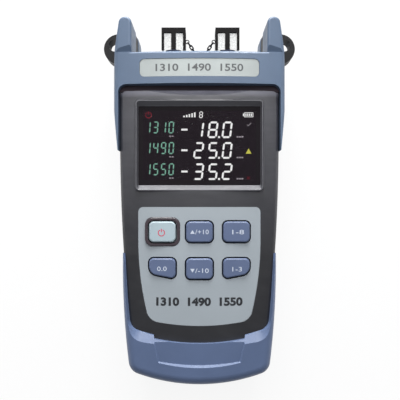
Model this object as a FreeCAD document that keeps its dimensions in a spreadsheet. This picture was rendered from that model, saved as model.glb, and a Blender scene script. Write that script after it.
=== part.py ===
import FreeCAD, Part
import math
import os
import Sketcher

# Handheld optical power meter, lying on its back: the face looks up along +Z and the
# optical inputs point along +Y. The origin is under the middle of the part.

# Driving dimensions in millimetres, kept in the spreadsheet

DIMENSIONS = {
    "shell_lift": (2.0, "back of the case above the surface it lies on"),
    "parting_z": (26.0, "height of the joint between the two case halves"),
    "core_depth": (12.0, "depth of the dark band that shows between the guards"),
    "face_z": (43.0, "height of the grey face on the centre line"),
    "head_rise": (4.0, "head guard proud of the grey face"),
    "head_sink": (3.2, "face of the case under the head guard, below the grey face"),
    "boot_rise": (3.4, "boot proud of the grey face"),
    "crown_r": (300.0, "radius of the crowned face"),
    "body_half": (41.4, "half width of the case at the display"),
    "deck_y": (74.0, "end of the case between the horns"),
    "waist_y": (35.0, "where the sides start to draw in"),
    "side_r": (960.0, "radius of the drawn-in sides"),
    "foot_y": (-86.6, "corner of the foot of the case"),
    "bottom_r": (104.0, "radius of the foot of the case"),
    "foot_corner_r": (9.0, "corner radius at the foot"),
    "wall": (2.4, "wall of the case"),
    "rim_r": (2.0, "rounding of the grey face's edge"),
    "fit_gap": (0.15, "gap between a guard and the case"),
    "head_half": (44.1, "half width over the head guard"),
    "head_side_r": (4.0, "rounding of the head guard's sides"),
    "head_top_y": (76.0, "top of the band across the head"),
    "band_y": (59.6, "lower edge of the band across the head"),
    "face_top_y": (56.9, "upper edge of the grey face"),
    "face_corner_r": (4.0, "upper corner radius of the grey face"),
    "brow_run": (2.8, "width of the bevel on the grey face's upper edge"),
    "brow_drop": (1.2, "fall of that bevel"),
    "arm_y": (26.0, "tip of the head guard's side arms"),
    "arm_full_y": (48.0, "where the side arms reach their full thickness"),
    "arm_tip": (0.3, "thickness of a side arm at its tip"),
    "horn_inner": (34.7, "inner side of a horn from the centre line"),
    "horn_root": (43.6, "outer side of a horn at its root"),
    "horn_root_y": (77.0, "height of the horn's root"),
    "horn_tip": (41.0, "outer side of a horn at its tip"),
    "horn_top_y": (94.2, "tip of the horns"),
    "horn_tip_r": (3.0, "rounding of the horn's tip, seen from the front"),
    "horn_back_r": (10.0, "rounding of the horn's back corner"),
    "notch_length": (4.2, "length of the fall at the root of a horn"),
    "notch_depth": (1.8, "depth of the fall at the root of a horn"),
    "guard_edge_r": (1.2, "rounding of the guards' outer edges"),
    "core_inset": (0.4, "dark band below the guards' surface"),
    "lug_x": (44.2, "centre of a strap lug"),
    "lug_y": (83.2, "height of a strap lug's centre"),
    "lug_r": (8.1, "outer radius of a strap lug"),
    "lug_depth": (9.0, "thickness of a strap lug"),
    "strap_x": (46.4, "centre of the strap hole"),
    "strap_y": (85.2, "height of the strap hole"),
    "strap_r": (3.3, "radius of the strap hole"),
    "plate_half": (30.3, "half length of the name strip"),
    "plate_y": (67.6, "height of the name strip's centre"),
    "plate_width": (8.9, "width of the name strip"),
    "plate_r": (2.3, "corner radius of the name strip"),
    "plate_depth": (0.8, "thickness of the name strip"),
    "plate_sink": (0.3, "name strip below the band"),
    "glass_half": (31.5, "half width of the display window"),
    "glass_y": (28.6, "centre of the display window"),
    "glass_height": (40.8, "height of the display window"),
    "glass_depth": (1.2, "thickness of the display window"),
    "glass_sink": (2.6, "display window below the crown of the face"),
    "glass_ledge": (1.8, "ledge under the display window"),
    "bezel_angle": (43.0, "slope of the display recess from upright"),
    "bezel_r": (0.6, "corner radius at the foot of the display recess"),
    "roof_z": (38.5, "underside of the face inside the case"),
    "sheet_depth": (0.4, "thickness of the keypad overlay"),
    "sheet_top_y": (-3.1, "upper edge of the keypad overlay"),
    "sheet_half": (31.5, "half width of the keypad overlay"),
    "sheet_turn_y": (-20.0, "where the overlay's sides start to draw in"),
    "sheet_side_r": (158.0, "radius of the overlay's drawn-in sides"),
    "sheet_foot_y": (-61.4, "corner of the overlay's lower edge"),
    "sheet_foot_r": (130.0, "radius of the overlay's lower edge"),
    "sheet_corner_r": (2.6, "upper corner radius of the overlay"),
    "sheet_low_corner_r": (7.0, "lower corner radius of the overlay"),
    "key_pitch_x": (19.0, "keys' spacing across"),
    "key_pitch_y": (18.9, "keys' spacing down"),
    "key_row_y": (-15.8, "height of the upper row of keys"),
    "key_width": (13.6, "width of a key"),
    "key_height": (10.6, "height of a key"),
    "key_r": (2.4, "corner radius of a key"),
    "key_big_r": (4.4, "large corner radius of the two lower outer keys"),
    "key_fall": (2.7, "fall of the lower edge of the two lower outer keys"),
    "key_rise": (1.0, "top of a key above the overlay"),
    "key_edge_r": (0.8, "rounding of a key's top edge"),
    "key_gap": (0.75, "gap round a key"),
    "key_flange": (1.4, "width of the flange that keeps a key in"),
    "key_flange_depth": (1.2, "thickness of that flange"),
    "key_lash": (0.15, "gap over that flange"),
    "key_travel": (0.8, "travel of a key"),
    "stem_r": (1.6, "radius of a key's stem"),
    "stem_length": (1.3, "length of a key's stem"),
    "dome_foot_r": (3.2, "radius of a mat dome at its foot"),
    "dome_top_r": (1.9, "radius of a mat dome at its top"),
    "ring_width": (18.0, "width of the power key's ring"),
    "ring_height": (14.7, "height of the power key's ring"),
    "ring_r": (3.9, "corner radius of the power key's ring"),
    "ring_rise": (0.6, "power key's ring above the overlay"),
    "ring_edge_r": (0.48, "rounding of the ring's outer edge"),
    "board_z": (31.4, "underside of the main board"),
    "board_depth": (1.6, "thickness of the main board"),
    "board_half": (30.2, "half width of the main board"),
    "board_top_y": (62.0, "upper edge of the main board"),
    "board_low_y": (-74.0, "lower edge of the main board"),
    "mat_depth": (0.8, "thickness of the key mat"),
    "boot_wall": (2.4, "side wall of the boot"),
    "boot_toe": (1.2, "end wall of the boot"),
    "boot_tip_y": (-27.0, "upper tip of the boot's sides"),
    "boot_side_r": (400.0, "radius of the boot's sides"),
    "boot_corner_r": (7.0, "corner radius of the boot's foot"),
    "boot_front_r": (5.0, "rounding of the boot's front edge"),
    "boot_edge_r": (3.4, "rounding of the boot's back edge"),
    "mouth_half": (31.5, "half width of the lower edge of the boot's mouth"),
    "mouth_y": (-66.2, "ends of the lower edge of the boot's mouth"),
    "mouth_r": (124.0, "radius of that lower edge"),
    "mouth_corner_half": (35.8, "half width of the mouth where its corners end"),
    "mouth_corner_y": (-61.3, "upper end of the mouth's corners"),
    "mouth_corner_r": (6.0, "corner radius of the boot's mouth"),
    "mouth_side_half": (38.3, "half width of the mouth near its upper end"),
    "mouth_side_y": (-31.0, "where the mouth starts to run out through the boot's sides"),
    "mouth_start_z": (40.6, "level at which the boot's mouth starts to widen"),
    "mouth_angle": (20.0, "slope of the mouth's sides from upright"),
    "shoulder_half": (31.8, "half width of the bevelled shoulders at their foot"),
    "shoulder_y": (-65.5, "lower edge of the bevelled shoulders at their foot"),
    "shoulder_top_y": (-50.0, "upper edge of the bevelled shoulders"),
    "shoulder_r": (3.0, "corner radius of the bevelled shoulders"),
    "shoulder_angle": (55.0, "slope of the shoulders from upright"),
    "thumb_top_half": (24.0, "half width of the thumb recess at its top"),
    "thumb_low_half": (20.6, "half width of the thumb recess at its foot"),
    "thumb_low_y": (-81.6, "foot of the thumb recess"),
    "thumb_foot_r": (112.0, "radius of the foot of the thumb recess"),
    "thumb_floor": (1.9, "floor of the thumb recess above the grey face"),
    "thumb_mouth_y": (-70.5, "edge of the boot in the thumb recess"),
    "thumb_angle": (33.0, "slope of the thumb recess's sides from upright"),
    "port_z": (20.0, "height of the optical inputs' axes"),
    "port_left_x": (-14.2, "left optical input"),
    "port_right_x": (15.4, "right optical input"),
    "barrel_r": (4.6, "radius of the threaded barrel"),
    "barrel_length": (10.0, "barrel behind the deck"),
    "nut_r": (5.6, "radius of the nut on the barrel"),
    "nut_length": (6.0, "length of the nut"),
    "mouth_wide": (12.8, "width of a receptacle"),
    "mouth_deep": (9.2, "depth of a receptacle, front to back"),
    "mouth_length": (10.4, "length of a receptacle's square part"),
    "socket_wide": (9.2, "width of the socket"),
    "socket_deep": (7.4, "depth of the socket, front to back"),
    "socket_floor": (0.9, "floor of the socket"),
    "sleeve_r": (1.75, "radius of the ceramic sleeve"),
    "sleeve_bore_r": (1.25, "radius of the sleeve's bore"),
    "sleeve_length": (4.4, "length of the ceramic sleeve"),
    "cap_top": (2.7, "thickness of a dust cap's top"),
    "cap_gap": (0.2, "gap between a dust cap and its receptacle"),
    "cap_leg": (0.6, "thickness of a dust cap's legs"),
    "cap_leg_side": (1.4, "width of a dust cap's outer legs"),
    "cap_leg_mid": (2.6, "width of a dust cap's middle leg"),
    "cap_leg_length": (9.6, "length of a dust cap's legs"),
    "eye_height": (5.72, "height of a dust cap's eye above the foot of its receptacle"),
    "link_length": (3.2, "length of a chain link"),
    "link_width": (1.9, "width of a chain link"),
    "link_wire": (0.5, "thickness of a chain link's wire"),
    "cell_r": (7.15, "radius of a battery cell"),
    "cell_length": (49.2, "length of a battery cell without its button"),
    "cell_pitch": (15.0, "spacing of the cells"),
    "bay_half": (22.8, "half width of the battery bay"),
    "bay_top_y": (-3.0, "upper end of the battery bay"),
    "bay_length": (57.0, "length of the battery bay"),
    "bay_depth": (15.6, "depth of the battery bay above its door"),
    "door_depth": (1.8, "thickness of the battery door"),
    "door_lap": (2.0, "battery door wider than its bay"),
    "door_gap": (0.3, "gap round the battery door"),
    "grip_pitch": (2.9, "spacing of the grips on the battery door"),
    "grip_width": (1.4, "width of a grip"),
    "grip_depth": (0.6, "depth of a grip"),
    "contact_depth": (0.4, "thickness of a contact plate"),
    "spring_wide_r": (4.3, "radius of a contact spring at its foot"),
    "spring_slim_r": (2.9, "radius of a contact spring at the cell"),
    "screw_r": (1.4, "radius of a case screw"),
    "screw_head_r": (2.7, "radius of its head"),
    "screw_x": (34.0, "screws' distance from the centre line"),
    "screw_top_y": (46.0, "upper screws"),
    "screw_low_y": (-46.0, "lower screws"),
    "screw_gap": (0.1, "clearance round a screw"),
    "screw_reach": (7.2, "screws' length beyond the joint of the case"),
    "pilot_reach": (9.0, "depth of the holes for the screws beyond that joint"),
    "boss_r": (3.4, "radius of a screw boss"),
}

doc = FreeCAD.newDocument("OpticalPowerMeter")
sheet = doc.addObject("Spreadsheet::Sheet", "Sizes")
for row, (alias, (number, meaning)) in enumerate(DIMENSIONS.items(), start=1):
    sheet.set(f"A{row}", alias)
    sheet.set(f"B{row}", str(number))
    sheet.set(f"C{row}", meaning)
    sheet.setAlias(f"B{row}", alias)
doc.recompute()


class Size:
    """A length or an angle with the spreadsheet expression that it comes from."""

    def __init__(self, value, text):
        self.value = value
        self.text = text

    def __add__(self, other):
        other = as_size(other)
        return Size(self.value + other.value, f"({self.text} + {other.text})")

    def __sub__(self, other):
        other = as_size(other)
        return Size(self.value - other.value, f"({self.text} - {other.text})")

    def __mul__(self, other):
        other = as_size(other)
        return Size(self.value * other.value, f"({self.text} * {other.text})")

    def __truediv__(self, other):
        other = as_size(other)
        return Size(self.value / other.value, f"({self.text} / {other.text})")

    def __radd__(self, other):
        return as_size(other) + self

    def __rsub__(self, other):
        return as_size(other) - self

    def __rmul__(self, other):
        return as_size(other) * self

    def __neg__(self):
        return Size(-self.value, f"(0 - {self.text})")


def as_size(number):
    """The number as a Size, unless it is one already."""
    if isinstance(number, Size):
        return number
    return Size(float(number), f"({number})")


def root(size):
    """The square root of a Size."""
    return Size(math.sqrt(size.value), f"sqrt({size.text})")


class Sizes:
    """The driving dimensions by name, read from the spreadsheet."""

    def __getattr__(self, alias):
        return Size(float(getattr(sheet, alias)), f"Sizes.{alias}")


d = Sizes()

# Helpers for sketches and features


def new_sketch(body, name, role="XY_Plane", offset=None):
    """A sketch on one of the body's own origin planes, moved along its normal."""
    sketch = body.newObject("Sketcher::SketchObject", name)
    plane = next(item for item in body.Origin.OriginFeatures if item.Role == role)
    sketch.AttachmentSupport = [(plane, "")]
    sketch.MapMode = "FlatFace"
    if offset is not None:
        sketch.setExpression("AttachmentOffset.Base.z", as_size(offset).text)
    return sketch


def pin_point(sketch, geometry, position, point):
    """Hold a point of the sketch at two Sizes from the origin."""
    axes = (("DistanceX", -2), ("DistanceY", -1))
    for size, (kind, axis) in zip(point, axes):
        size = as_size(size)
        if size.value == 0:
            sketch.addConstraint(Sketcher.Constraint("PointOnObject", geometry, position, axis))
            continue
        index = sketch.addConstraint(
            Sketcher.Constraint(kind, -1, 1, geometry, position, size.value))
        sketch.setExpression(f"Constraints[{index}]", size.text)


def arc_between(start, end, radius):
    """An arc from start to end that turns left about a centre on the left."""
    chord = end - start
    middle = (start + end) * 0.5
    half = chord.Length / 2
    reach = math.sqrt(max(radius * radius - half * half, 0))
    left = FreeCAD.Vector(-chord.y, chord.x, 0).normalize()
    centre = middle + left * reach
    circle = Part.Circle(centre, FreeCAD.Vector(0, 0, 1), radius)
    first = math.atan2(start.y - centre.y, start.x - centre.x)
    last = math.atan2(end.y - centre.y, end.x - centre.x)
    return Part.ArcOfCircle(circle, first, last)


def add_profile(sketch, corners, arcs=None):
    """Add a closed profile, anticlockwise. arcs gives a side's radius: a positive
    one bulges outwards and a negative one inwards."""
    arcs = arcs or {}
    base = sketch.GeometryCount
    count = len(corners)
    points = [FreeCAD.Vector(as_size(x).value, as_size(y).value, 0) for x, y in corners]
    starts = []
    ends = []
    for side in range(count):
        start = points[side]
        end = points[(side + 1) % count]
        if side not in arcs:
            sketch.addGeometry(Part.LineSegment(start, end), False)
            starts.append(1)
            ends.append(2)
            continue
        radius = as_size(arcs[side])
        if radius.value > 0:
            sketch.addGeometry(arc_between(start, end, radius.value), False)
            starts.append(1)
            ends.append(2)
        else:
            sketch.addGeometry(arc_between(end, start, -radius.value), False)
            starts.append(2)
            ends.append(1)
    for side in range(count):
        following = (side + 1) % count
        sketch.addConstraint(Sketcher.Constraint(
            "Coincident", base + side, ends[side], base + following, starts[following]))
        pin_point(sketch, base + side, starts[side], corners[side])
    for side, radius in arcs.items():
        radius = as_size(radius)
        if radius.value < 0:
            radius = -radius
        index = sketch.addConstraint(
            Sketcher.Constraint("Radius", base + side, radius.value))
        sketch.setExpression(f"Constraints[{index}]", radius.text)


def add_rectangle(sketch, low_x, low_y, high_x, high_y):
    """Add a rectangle to a sketch."""
    add_profile(sketch, [(low_x, low_y), (high_x, low_y), (high_x, high_y), (low_x, high_y)])


def add_rounded(sketch, low_x, low_y, high_x, high_y, radii):
    """Add a rectangle with corner radii: low left, low right, high right, high left."""
    a, b, c, e = radii
    corners = [
        (low_x + a, low_y), (high_x - b, low_y),
        (high_x, low_y + b), (high_x, high_y - c),
        (high_x - c, high_y), (low_x + e, high_y),
        (low_x, high_y - e), (low_x, low_y + a),
    ]
    add_profile(sketch, corners, {1: b, 3: c, 5: e, 7: a})


def add_circle(sketch, x, y, radius):
    """Add a circle to a sketch."""
    x, y, radius = as_size(x), as_size(y), as_size(radius)
    centre = FreeCAD.Vector(x.value, y.value, 0)
    circle = Part.Circle(centre, FreeCAD.Vector(0, 0, 1), radius.value)
    index = sketch.addGeometry(circle, False)
    pin_point(sketch, index, 3, (x, y))
    held = sketch.addConstraint(Sketcher.Constraint("Radius", index, radius.value))
    sketch.setExpression(f"Constraints[{held}]", radius.text)


def pad(body, sketch, length, name, reverse=False, both_ways=False, taper=None):
    """Raise a sketch into a solid of the body."""
    feature = body.newObject("PartDesign::Pad", name)
    return finish_prism(feature, sketch, length, reverse, both_ways, taper)


def pocket(body, sketch, length, name, reverse=False, both_ways=False, taper=None):
    """Cut a sketch out of the body: against its normal, or along it if reversed."""
    feature = body.newObject("PartDesign::Pocket", name)
    return finish_prism(feature, sketch, length, reverse, both_ways, taper)


def finish_prism(feature, sketch, length, reverse, both_ways, taper):
    """Set the length, direction and slope of a pad or pocket."""
    feature.Profile = sketch
    feature.Reversed = reverse
    if both_ways:
        feature.SideType = "Symmetric"
    feature.setExpression("Length", as_size(length).text)
    if taper is not None:
        feature.setExpression("TaperAngle", as_size(taper).text)
    doc.recompute([feature])
    return feature


def fillet(body, radius, name, wanted):
    """Round the edges of the body's tip for which wanted(edge) is true."""
    base = body.Tip
    names = [f"Edge{i}" for i, edge in enumerate(base.Shape.Edges, start=1) if wanted(edge)]
    feature = body.newObject("PartDesign::Fillet", name)
    feature.Base = (base, names)
    feature.setExpression("Radius", as_size(radius).text)
    doc.recompute([feature])
    return feature


def upright_at(edge, x, y, reach=0.6):
    """Whether an edge is upright and stands at x, y."""
    box = edge.BoundBox
    flat = box.XLength < 0.01 and box.YLength < 0.01
    return flat and abs(box.XMin - x) < reach and abs(box.YMin - y) < reach


def crown_cut(body, name, top_z):
    """Take everything above the crowned surface off the body."""
    reach = d.head_half + d.lug_r
    drop = d.crown_r - root(d.crown_r * d.crown_r - reach * reach)
    sky = top_z + d.head_rise + d.crown_r * 0.1
    sketch = new_sketch(body, f"{name}Profile", "XZ_Plane")
    corners = [(-reach, top_z - drop), (reach, top_z - drop), (reach, sky), (-reach, sky)]
    add_profile(sketch, corners, {0: -d.crown_r})
    return pocket(body, sketch, 4 * d.head_top_y, name, both_ways=True)


def boolean(kind, name, base, tool):
    """A Part boolean of two objects."""
    feature = doc.addObject(f"Part::{kind}", name)
    feature.Base = base
    feature.Tool = tool
    doc.recompute([feature])
    return feature


def cylinder(name, radius, length, x, y, z, axis):
    """A cylinder that starts at x, y, z and runs along an axis."""
    shape = doc.addObject("Part::Cylinder", name)
    shape.setExpression("Radius", as_size(radius).text)
    shape.setExpression("Height", as_size(length).text)
    turns = {
        "x": FreeCAD.Rotation(FreeCAD.Vector(0, 1, 0), 90),
        "y": FreeCAD.Rotation(FreeCAD.Vector(1, 0, 0), -90),
        "z": FreeCAD.Rotation(),
    }
    shape.Placement = FreeCAD.Placement(FreeCAD.Vector(), turns[axis])
    place(shape, x, y, z)
    return shape


def block(name, low, high):
    """A box between two corners, given as Sizes."""
    shape = doc.addObject("Part::Box", name)
    for prop, first, last in zip(("Length", "Width", "Height"), low, high):
        shape.setExpression(prop, (as_size(last) - as_size(first)).text)
    place(shape, *low)
    return shape


def place(shape, x, y, z):
    """Bind an object's place to three Sizes."""
    for letter, size in zip("xyz", (x, y, z)):
        shape.setExpression(f"Placement.Base.{letter}", as_size(size).text)
    doc.recompute([shape])


def fuse(name, shapes):
    """Join several objects into one."""
    feature = doc.addObject("Part::MultiFuse", name)
    feature.Shapes = shapes
    doc.recompute([feature])
    return feature


def group(name, shapes):
    """Keep several alike pieces as separate solids of one sub-part."""
    feature = doc.addObject("Part::Compound", name)
    feature.Links = shapes
    doc.recompute([feature])
    return feature


# Outlines shared by the case, the guards, the boot and the overlay


def side_x(y, inset=0):
    """Half width of the case at y, on its drawn-in side."""
    radius = d.side_r - inset
    fall = d.waist_y - y
    return d.body_half - d.side_r + root(radius * radius - fall * fall)


def add_case_outline(sketch, inset):
    """The outline of the case, moved inwards by inset."""
    low_y = d.foot_y + inset
    low_x = side_x(low_y, inset)
    half = d.body_half - inset
    top = d.deck_y - inset
    corners = [
        (-low_x, low_y), (low_x, low_y), (half, d.waist_y), (half, top),
        (-half, top), (-half, d.waist_y),
    ]
    side = d.side_r - inset
    add_profile(sketch, corners, {0: d.bottom_r - inset, 1: side, 5: side})


def case_block(name, low_z, high_z, inset):
    """A body in the outline of the case, with its foot's corners rounded."""
    body = doc.addObject("PartDesign::Body", name)
    sketch = new_sketch(body, f"{name}Outline", offset=low_z)
    add_case_outline(sketch, as_size(inset))
    pad(body, sketch, high_z - low_z, f"{name}Block")
    low_y = d.foot_y + inset
    low_x = side_x(low_y, as_size(inset))
    fillet(body, d.foot_corner_r - inset, f"{name}Corners",
           lambda edge: upright_at(edge, low_x.value, low_y.value)
           or upright_at(edge, -low_x.value, low_y.value))
    return body


def add_head_outline(sketch, inset, low_y, inner):
    """The outline of the head with its horns and side arms, moved inwards by inset
    on the outside. low_y is the lower edge of the band across the head, and inner
    is the inner side of the arms."""
    right = [
        (d.body_half + d.fit_gap + d.arm_tip - inset, d.arm_y),
        (d.head_half - inset, d.arm_full_y),
        (d.head_half - inset, d.plate_y),
        (d.horn_root - inset, d.horn_root_y),
        (d.horn_tip - inset, d.horn_top_y - inset),
        (d.horn_inner + inset, d.horn_top_y - inset),
        (d.horn_inner + inset, d.head_top_y - inset),
    ]
    left = [(-as_size(x), y) for x, y in reversed(right)]
    under = [(-inner, d.arm_y), (-inner, low_y), (inner, low_y), (inner, d.arm_y)]
    add_profile(sketch, right + left + under)


def head_block(name, low_z, high_z, inset, low_y):
    """A body in the outline of the head, with the tips of its horns rounded."""
    body = doc.addObject("PartDesign::Body", name)
    sketch = new_sketch(body, f"{name}Outline", offset=low_z)
    add_head_outline(sketch, as_size(inset), low_y, d.body_half + d.fit_gap)
    pad(body, sketch, high_z - low_z, f"{name}Block")
    top = (d.horn_top_y - inset).value
    outer = (d.horn_tip - inset).value
    inner = (d.horn_inner + inset).value
    fillet(body, d.horn_tip_r - inset, f"{name}Tips",
           lambda edge: any(upright_at(edge, x, top) for x in (outer, -outer, inner, -inner)))
    return body


def on_crown(edge, top_z):
    """Whether an edge lies on the crowned surface whose top is at top_z."""
    centre_z = (top_z - d.crown_r).value
    for share in (0, 0.5, 1):
        first, last = edge.ParameterRange
        point = edge.valueAt(first + (last - first) * share)
        if abs(math.hypot(point.x, point.z - centre_z) - d.crown_r.value) > 0.01:
            return False
    return True


def crown_drop(x):
    """How far the crowned surface has fallen at x."""
    return d.crown_r - root(d.crown_r * d.crown_r - x * x)


def crown_solid(name, top_z):
    """Everything under a crowned surface, as one long cylinder."""
    reach = 2 * d.head_top_y
    return cylinder(name, d.crown_r, 2 * reach, 0, -reach, top_z - d.crown_r, "y")


def above_crown(name, prism, top_z):
    """The part of a prism above a crowned surface."""
    return boolean("Cut", name, prism, crown_solid(f"{name}Under", top_z))


def crown_layer(name, prism, top_z, depth):
    """A sheet of even thickness that follows the crown, in a prism's outline."""
    capped = boolean("Common", f"{name}Capped", prism, crown_solid(f"{name}Top", top_z))
    return above_crown(name, capped, top_z - depth)


NODES = {}


def keep(label, feature):
    """Name a finished sub-part."""
    feature.Label = label
    NODES[label] = feature


head_z = d.face_z + d.head_rise
boot_z = d.face_z + d.boot_rise
step_z = d.face_z - d.head_sink
core_low = d.parting_z - d.core_depth
deck_face = d.head_top_y - d.core_inset
glass_top = d.face_z - d.glass_sink
flange_top = d.roof_z - d.key_lash
flange_low = flange_top - d.key_flange_depth
stem_low = flange_low - d.stem_length
board_top = d.board_z + d.board_depth
door_top = d.shell_lift + d.door_depth
screw_places = [(x, y) for x in (d.screw_x, -d.screw_x) for y in (d.screw_top_y, d.screw_low_y)]

# Keys: name, column, row, corner radii from low left round to high left

small, big = d.key_r, d.key_big_r
KEYS = [
    ("power_key", -1, 0, (small, small, small, small)),
    ("up_key", 0, 0, (small, small, small, small)),
    ("set_key", 1, 0, (small, small, small, small)),
    ("left_key", -1, 1, (big, small, small, small)),
    ("down_key", 0, 1, (small, small, small, small)),
    ("right_key", 1, 1, (small, big, small, small)),
]


def key_centre(column, row):
    """Centre of a key on the face."""
    return column * d.key_pitch_x, d.key_row_y - row * d.key_pitch_y


def add_key_outline(sketch, column, row, radii, grow):
    """The outline of a key, grown by some margin."""
    x, y = key_centre(column, row)
    wide = d.key_width / 2 + grow
    tall = d.key_height / 2 + grow
    if column and row:
        add_slanted_outline(sketch, column, row, grow)
        return
    add_rounded(sketch, x - wide, y - tall, x + wide, y + tall,
                [radius + grow for radius in radii])


def add_slanted_outline(sketch, side, row, grow):
    """The outline of a lower outer key, whose lower edge falls towards the middle.
    side is 1 for the right key and -1 for the left one."""
    x, y = key_centre(side, row)
    wide = d.key_width / 2 + grow
    top = y + d.key_height / 2 + grow
    slope = root(d.key_width * d.key_width + d.key_fall * d.key_fall)
    across = d.key_width / slope
    down = d.key_fall / slope
    shift = grow / across
    steep = grow * down / across
    inner_y = y - d.key_height / 2 - shift - steep
    outer_y = y - d.key_height / 2 + d.key_fall - shift + steep
    small = d.key_r + grow
    large = d.key_big_r + grow
    inner_run = small * (1 + down) / across
    outer_run = large * across / (1 + down)
    corners = [
        (-wide + inner_run * across, inner_y + inner_run * down),
        (wide - outer_run * across, outer_y - outer_run * down),
        (wide, outer_y + outer_run), (wide, top - small),
        (wide - small, top), (-wide + small, top),
        (-wide, top - small), (-wide, inner_y + inner_run),
    ]
    arcs = {1: large, 3: small, 5: small, 7: small}
    if side < 0:
        corners = [(-across_x, up) for across_x, up in reversed(corners)]
        arcs = {1: small, 3: small, 5: large, 7: small}
    add_profile(sketch, [(x + across_x, up) for across_x, up in corners], arcs)


def make_overlay_prism(name, grow):
    """An upright prism in the outline of the keypad overlay."""
    body = doc.addObject("PartDesign::Body", name)
    sketch = new_sketch(body, f"{name}Outline", offset=d.roof_z)
    half = d.sheet_half + grow
    turn = d.sheet_turn_y
    low_y = d.sheet_foot_y - grow
    side = d.sheet_side_r + grow
    fall = turn - low_y
    low_x = d.sheet_half - d.sheet_side_r + root(side * side - fall * fall)
    top = d.sheet_top_y + grow
    corners = [(-low_x, low_y), (low_x, low_y), (half, turn), (half, top),
               (-half, top), (-half, turn)]
    add_profile(sketch, corners, {0: d.sheet_foot_r + grow, 1: side, 5: side})
    pad(body, sketch, 2 * (d.face_z - d.roof_z), f"{name}Block")
    fillet(body, d.sheet_low_corner_r + grow, f"{name}LowCorners",
           lambda edge: upright_at(edge, low_x.value, low_y.value)
           or upright_at(edge, -low_x.value, low_y.value))
    fillet(body, d.sheet_corner_r + grow, f"{name}TopCorners",
           lambda edge: upright_at(edge, half.value, top.value)
           or upright_at(edge, -half.value, top.value))
    return body


def ring_outline(sketch, grow):
    """The outline of the power key's ring."""
    x, y = key_centre(-1, 0)
    wide = d.ring_width / 2 + grow
    tall = d.ring_height / 2 + grow
    radius = d.ring_r + grow
    add_rounded(sketch, x - wide, y - tall, x + wide, y + tall, [radius] * 4)


def make_front_shell():
    """The front half of the case, with the display recess and the key openings."""
    high = d.face_z + d.head_rise
    body = case_block("FrontShellBody", d.parting_z, high, as_size(0))
    crown_cut(body, "FrontShellCrown", d.face_z)
    fillet(body, d.rim_r, "FrontShellRim", lambda edge: on_crown(edge, d.face_z))
    step = new_sketch(body, "HeadStep", offset=high)
    reach = d.head_half + d.wall
    half = d.body_half
    corner = d.face_corner_r
    start = d.face_top_y - corner
    far = d.head_top_y + d.wall
    add_profile(step, [
        (-reach, start), (-half, start), (-half + corner, d.face_top_y),
        (half - corner, d.face_top_y), (half, start), (reach, start),
        (reach, far), (-reach, far),
    ], {1: -corner, 3: -corner})
    pocket(body, step, high - step_z, "HeadStepCut")
    brow = new_sketch(body, "Brow", "YZ_Plane")
    run, drop = d.brow_run, d.brow_drop
    add_profile(brow, [
        (d.face_top_y - 2 * run, d.face_z + drop), (d.face_top_y + run, d.face_z - 2 * drop),
        (d.face_top_y + run, d.face_z + 2 * drop),
    ])
    pocket(body, brow, 3 * d.head_half, "BrowCut", both_ways=True)

    hollow = new_sketch(body, "FrontHollow", offset=d.parting_z)
    add_case_outline(hollow, d.wall)
    pocket(body, hollow, step_z - d.wall - d.parting_z, "FrontHollowCut", reverse=True)
    raised = new_sketch(body, "FaceHollow", offset=d.parting_z)
    inside = d.screw_x - d.boss_r - d.screw_gap
    glass_high = d.glass_y + d.glass_height / 2 + d.wall
    add_rectangle(raised, -inside, d.sheet_foot_y, inside, glass_high)
    pocket(body, raised, d.roof_z - d.parting_z, "FaceHollowCut", reverse=True)
    bosses = new_sketch(body, "FrontBosses", offset=d.parting_z)
    for x, y in screw_places:
        add_circle(bosses, x, y, d.boss_r)
    pad(body, bosses, step_z - d.wall - d.parting_z, "FrontBossesPad")
    pilots = new_sketch(body, "FrontPilots", offset=d.parting_z)
    for x, y in screw_places:
        add_circle(pilots, x, y, d.screw_r + d.screw_gap / 2)
    pocket(body, pilots, d.pilot_reach, "FrontPilotsCut", reverse=True)

    def glass_outline(name, grow):
        sketch = new_sketch(body, name, offset=glass_top)
        half = d.glass_half + grow
        tall = d.glass_height / 2 + grow
        add_rectangle(sketch, -half, d.glass_y - tall, half, d.glass_y + tall)
        return sketch

    bezel = new_sketch(body, "BezelOutline", offset=glass_top)
    half = d.glass_half + d.fit_gap
    tall = d.glass_height / 2 + d.fit_gap
    add_rounded(bezel, -half, d.glass_y - tall, half, d.glass_y + tall, [d.bezel_r] * 4)
    pocket(body, bezel, d.head_rise + d.glass_sink, "BezelCut", reverse=True,
           taper=d.bezel_angle)
    pocket(body, glass_outline("GlassSeat", d.fit_gap), d.glass_depth, "GlassSeatCut")
    pocket(body, glass_outline("GlassOpening", -d.glass_ledge), d.head_rise,
           "GlassOpeningCut")

    openings = new_sketch(body, "KeyOpenings", offset=d.parting_z)
    for name, column, row, radii in KEYS:
        add_key_outline(openings, column, row, radii, d.key_gap)
    pocket(body, openings, high - d.parting_z, "KeyOpeningsCut", reverse=True)
    seat = new_sketch(body, "RingSeat", offset=high)
    ring_outline(seat, d.fit_gap)
    pocket(body, seat, d.head_rise + d.sheet_depth + crown_drop(d.key_pitch_x + d.ring_width / 2)
           + d.ring_rise, "RingSeatCut")
    recess = above_crown("OverlayRecess", make_overlay_prism("OverlayRecessPrism", d.fit_gap),
                         d.face_z - d.sheet_depth)
    keep("front_shell", boolean("Cut", "FrontShell", body, recess))


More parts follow.
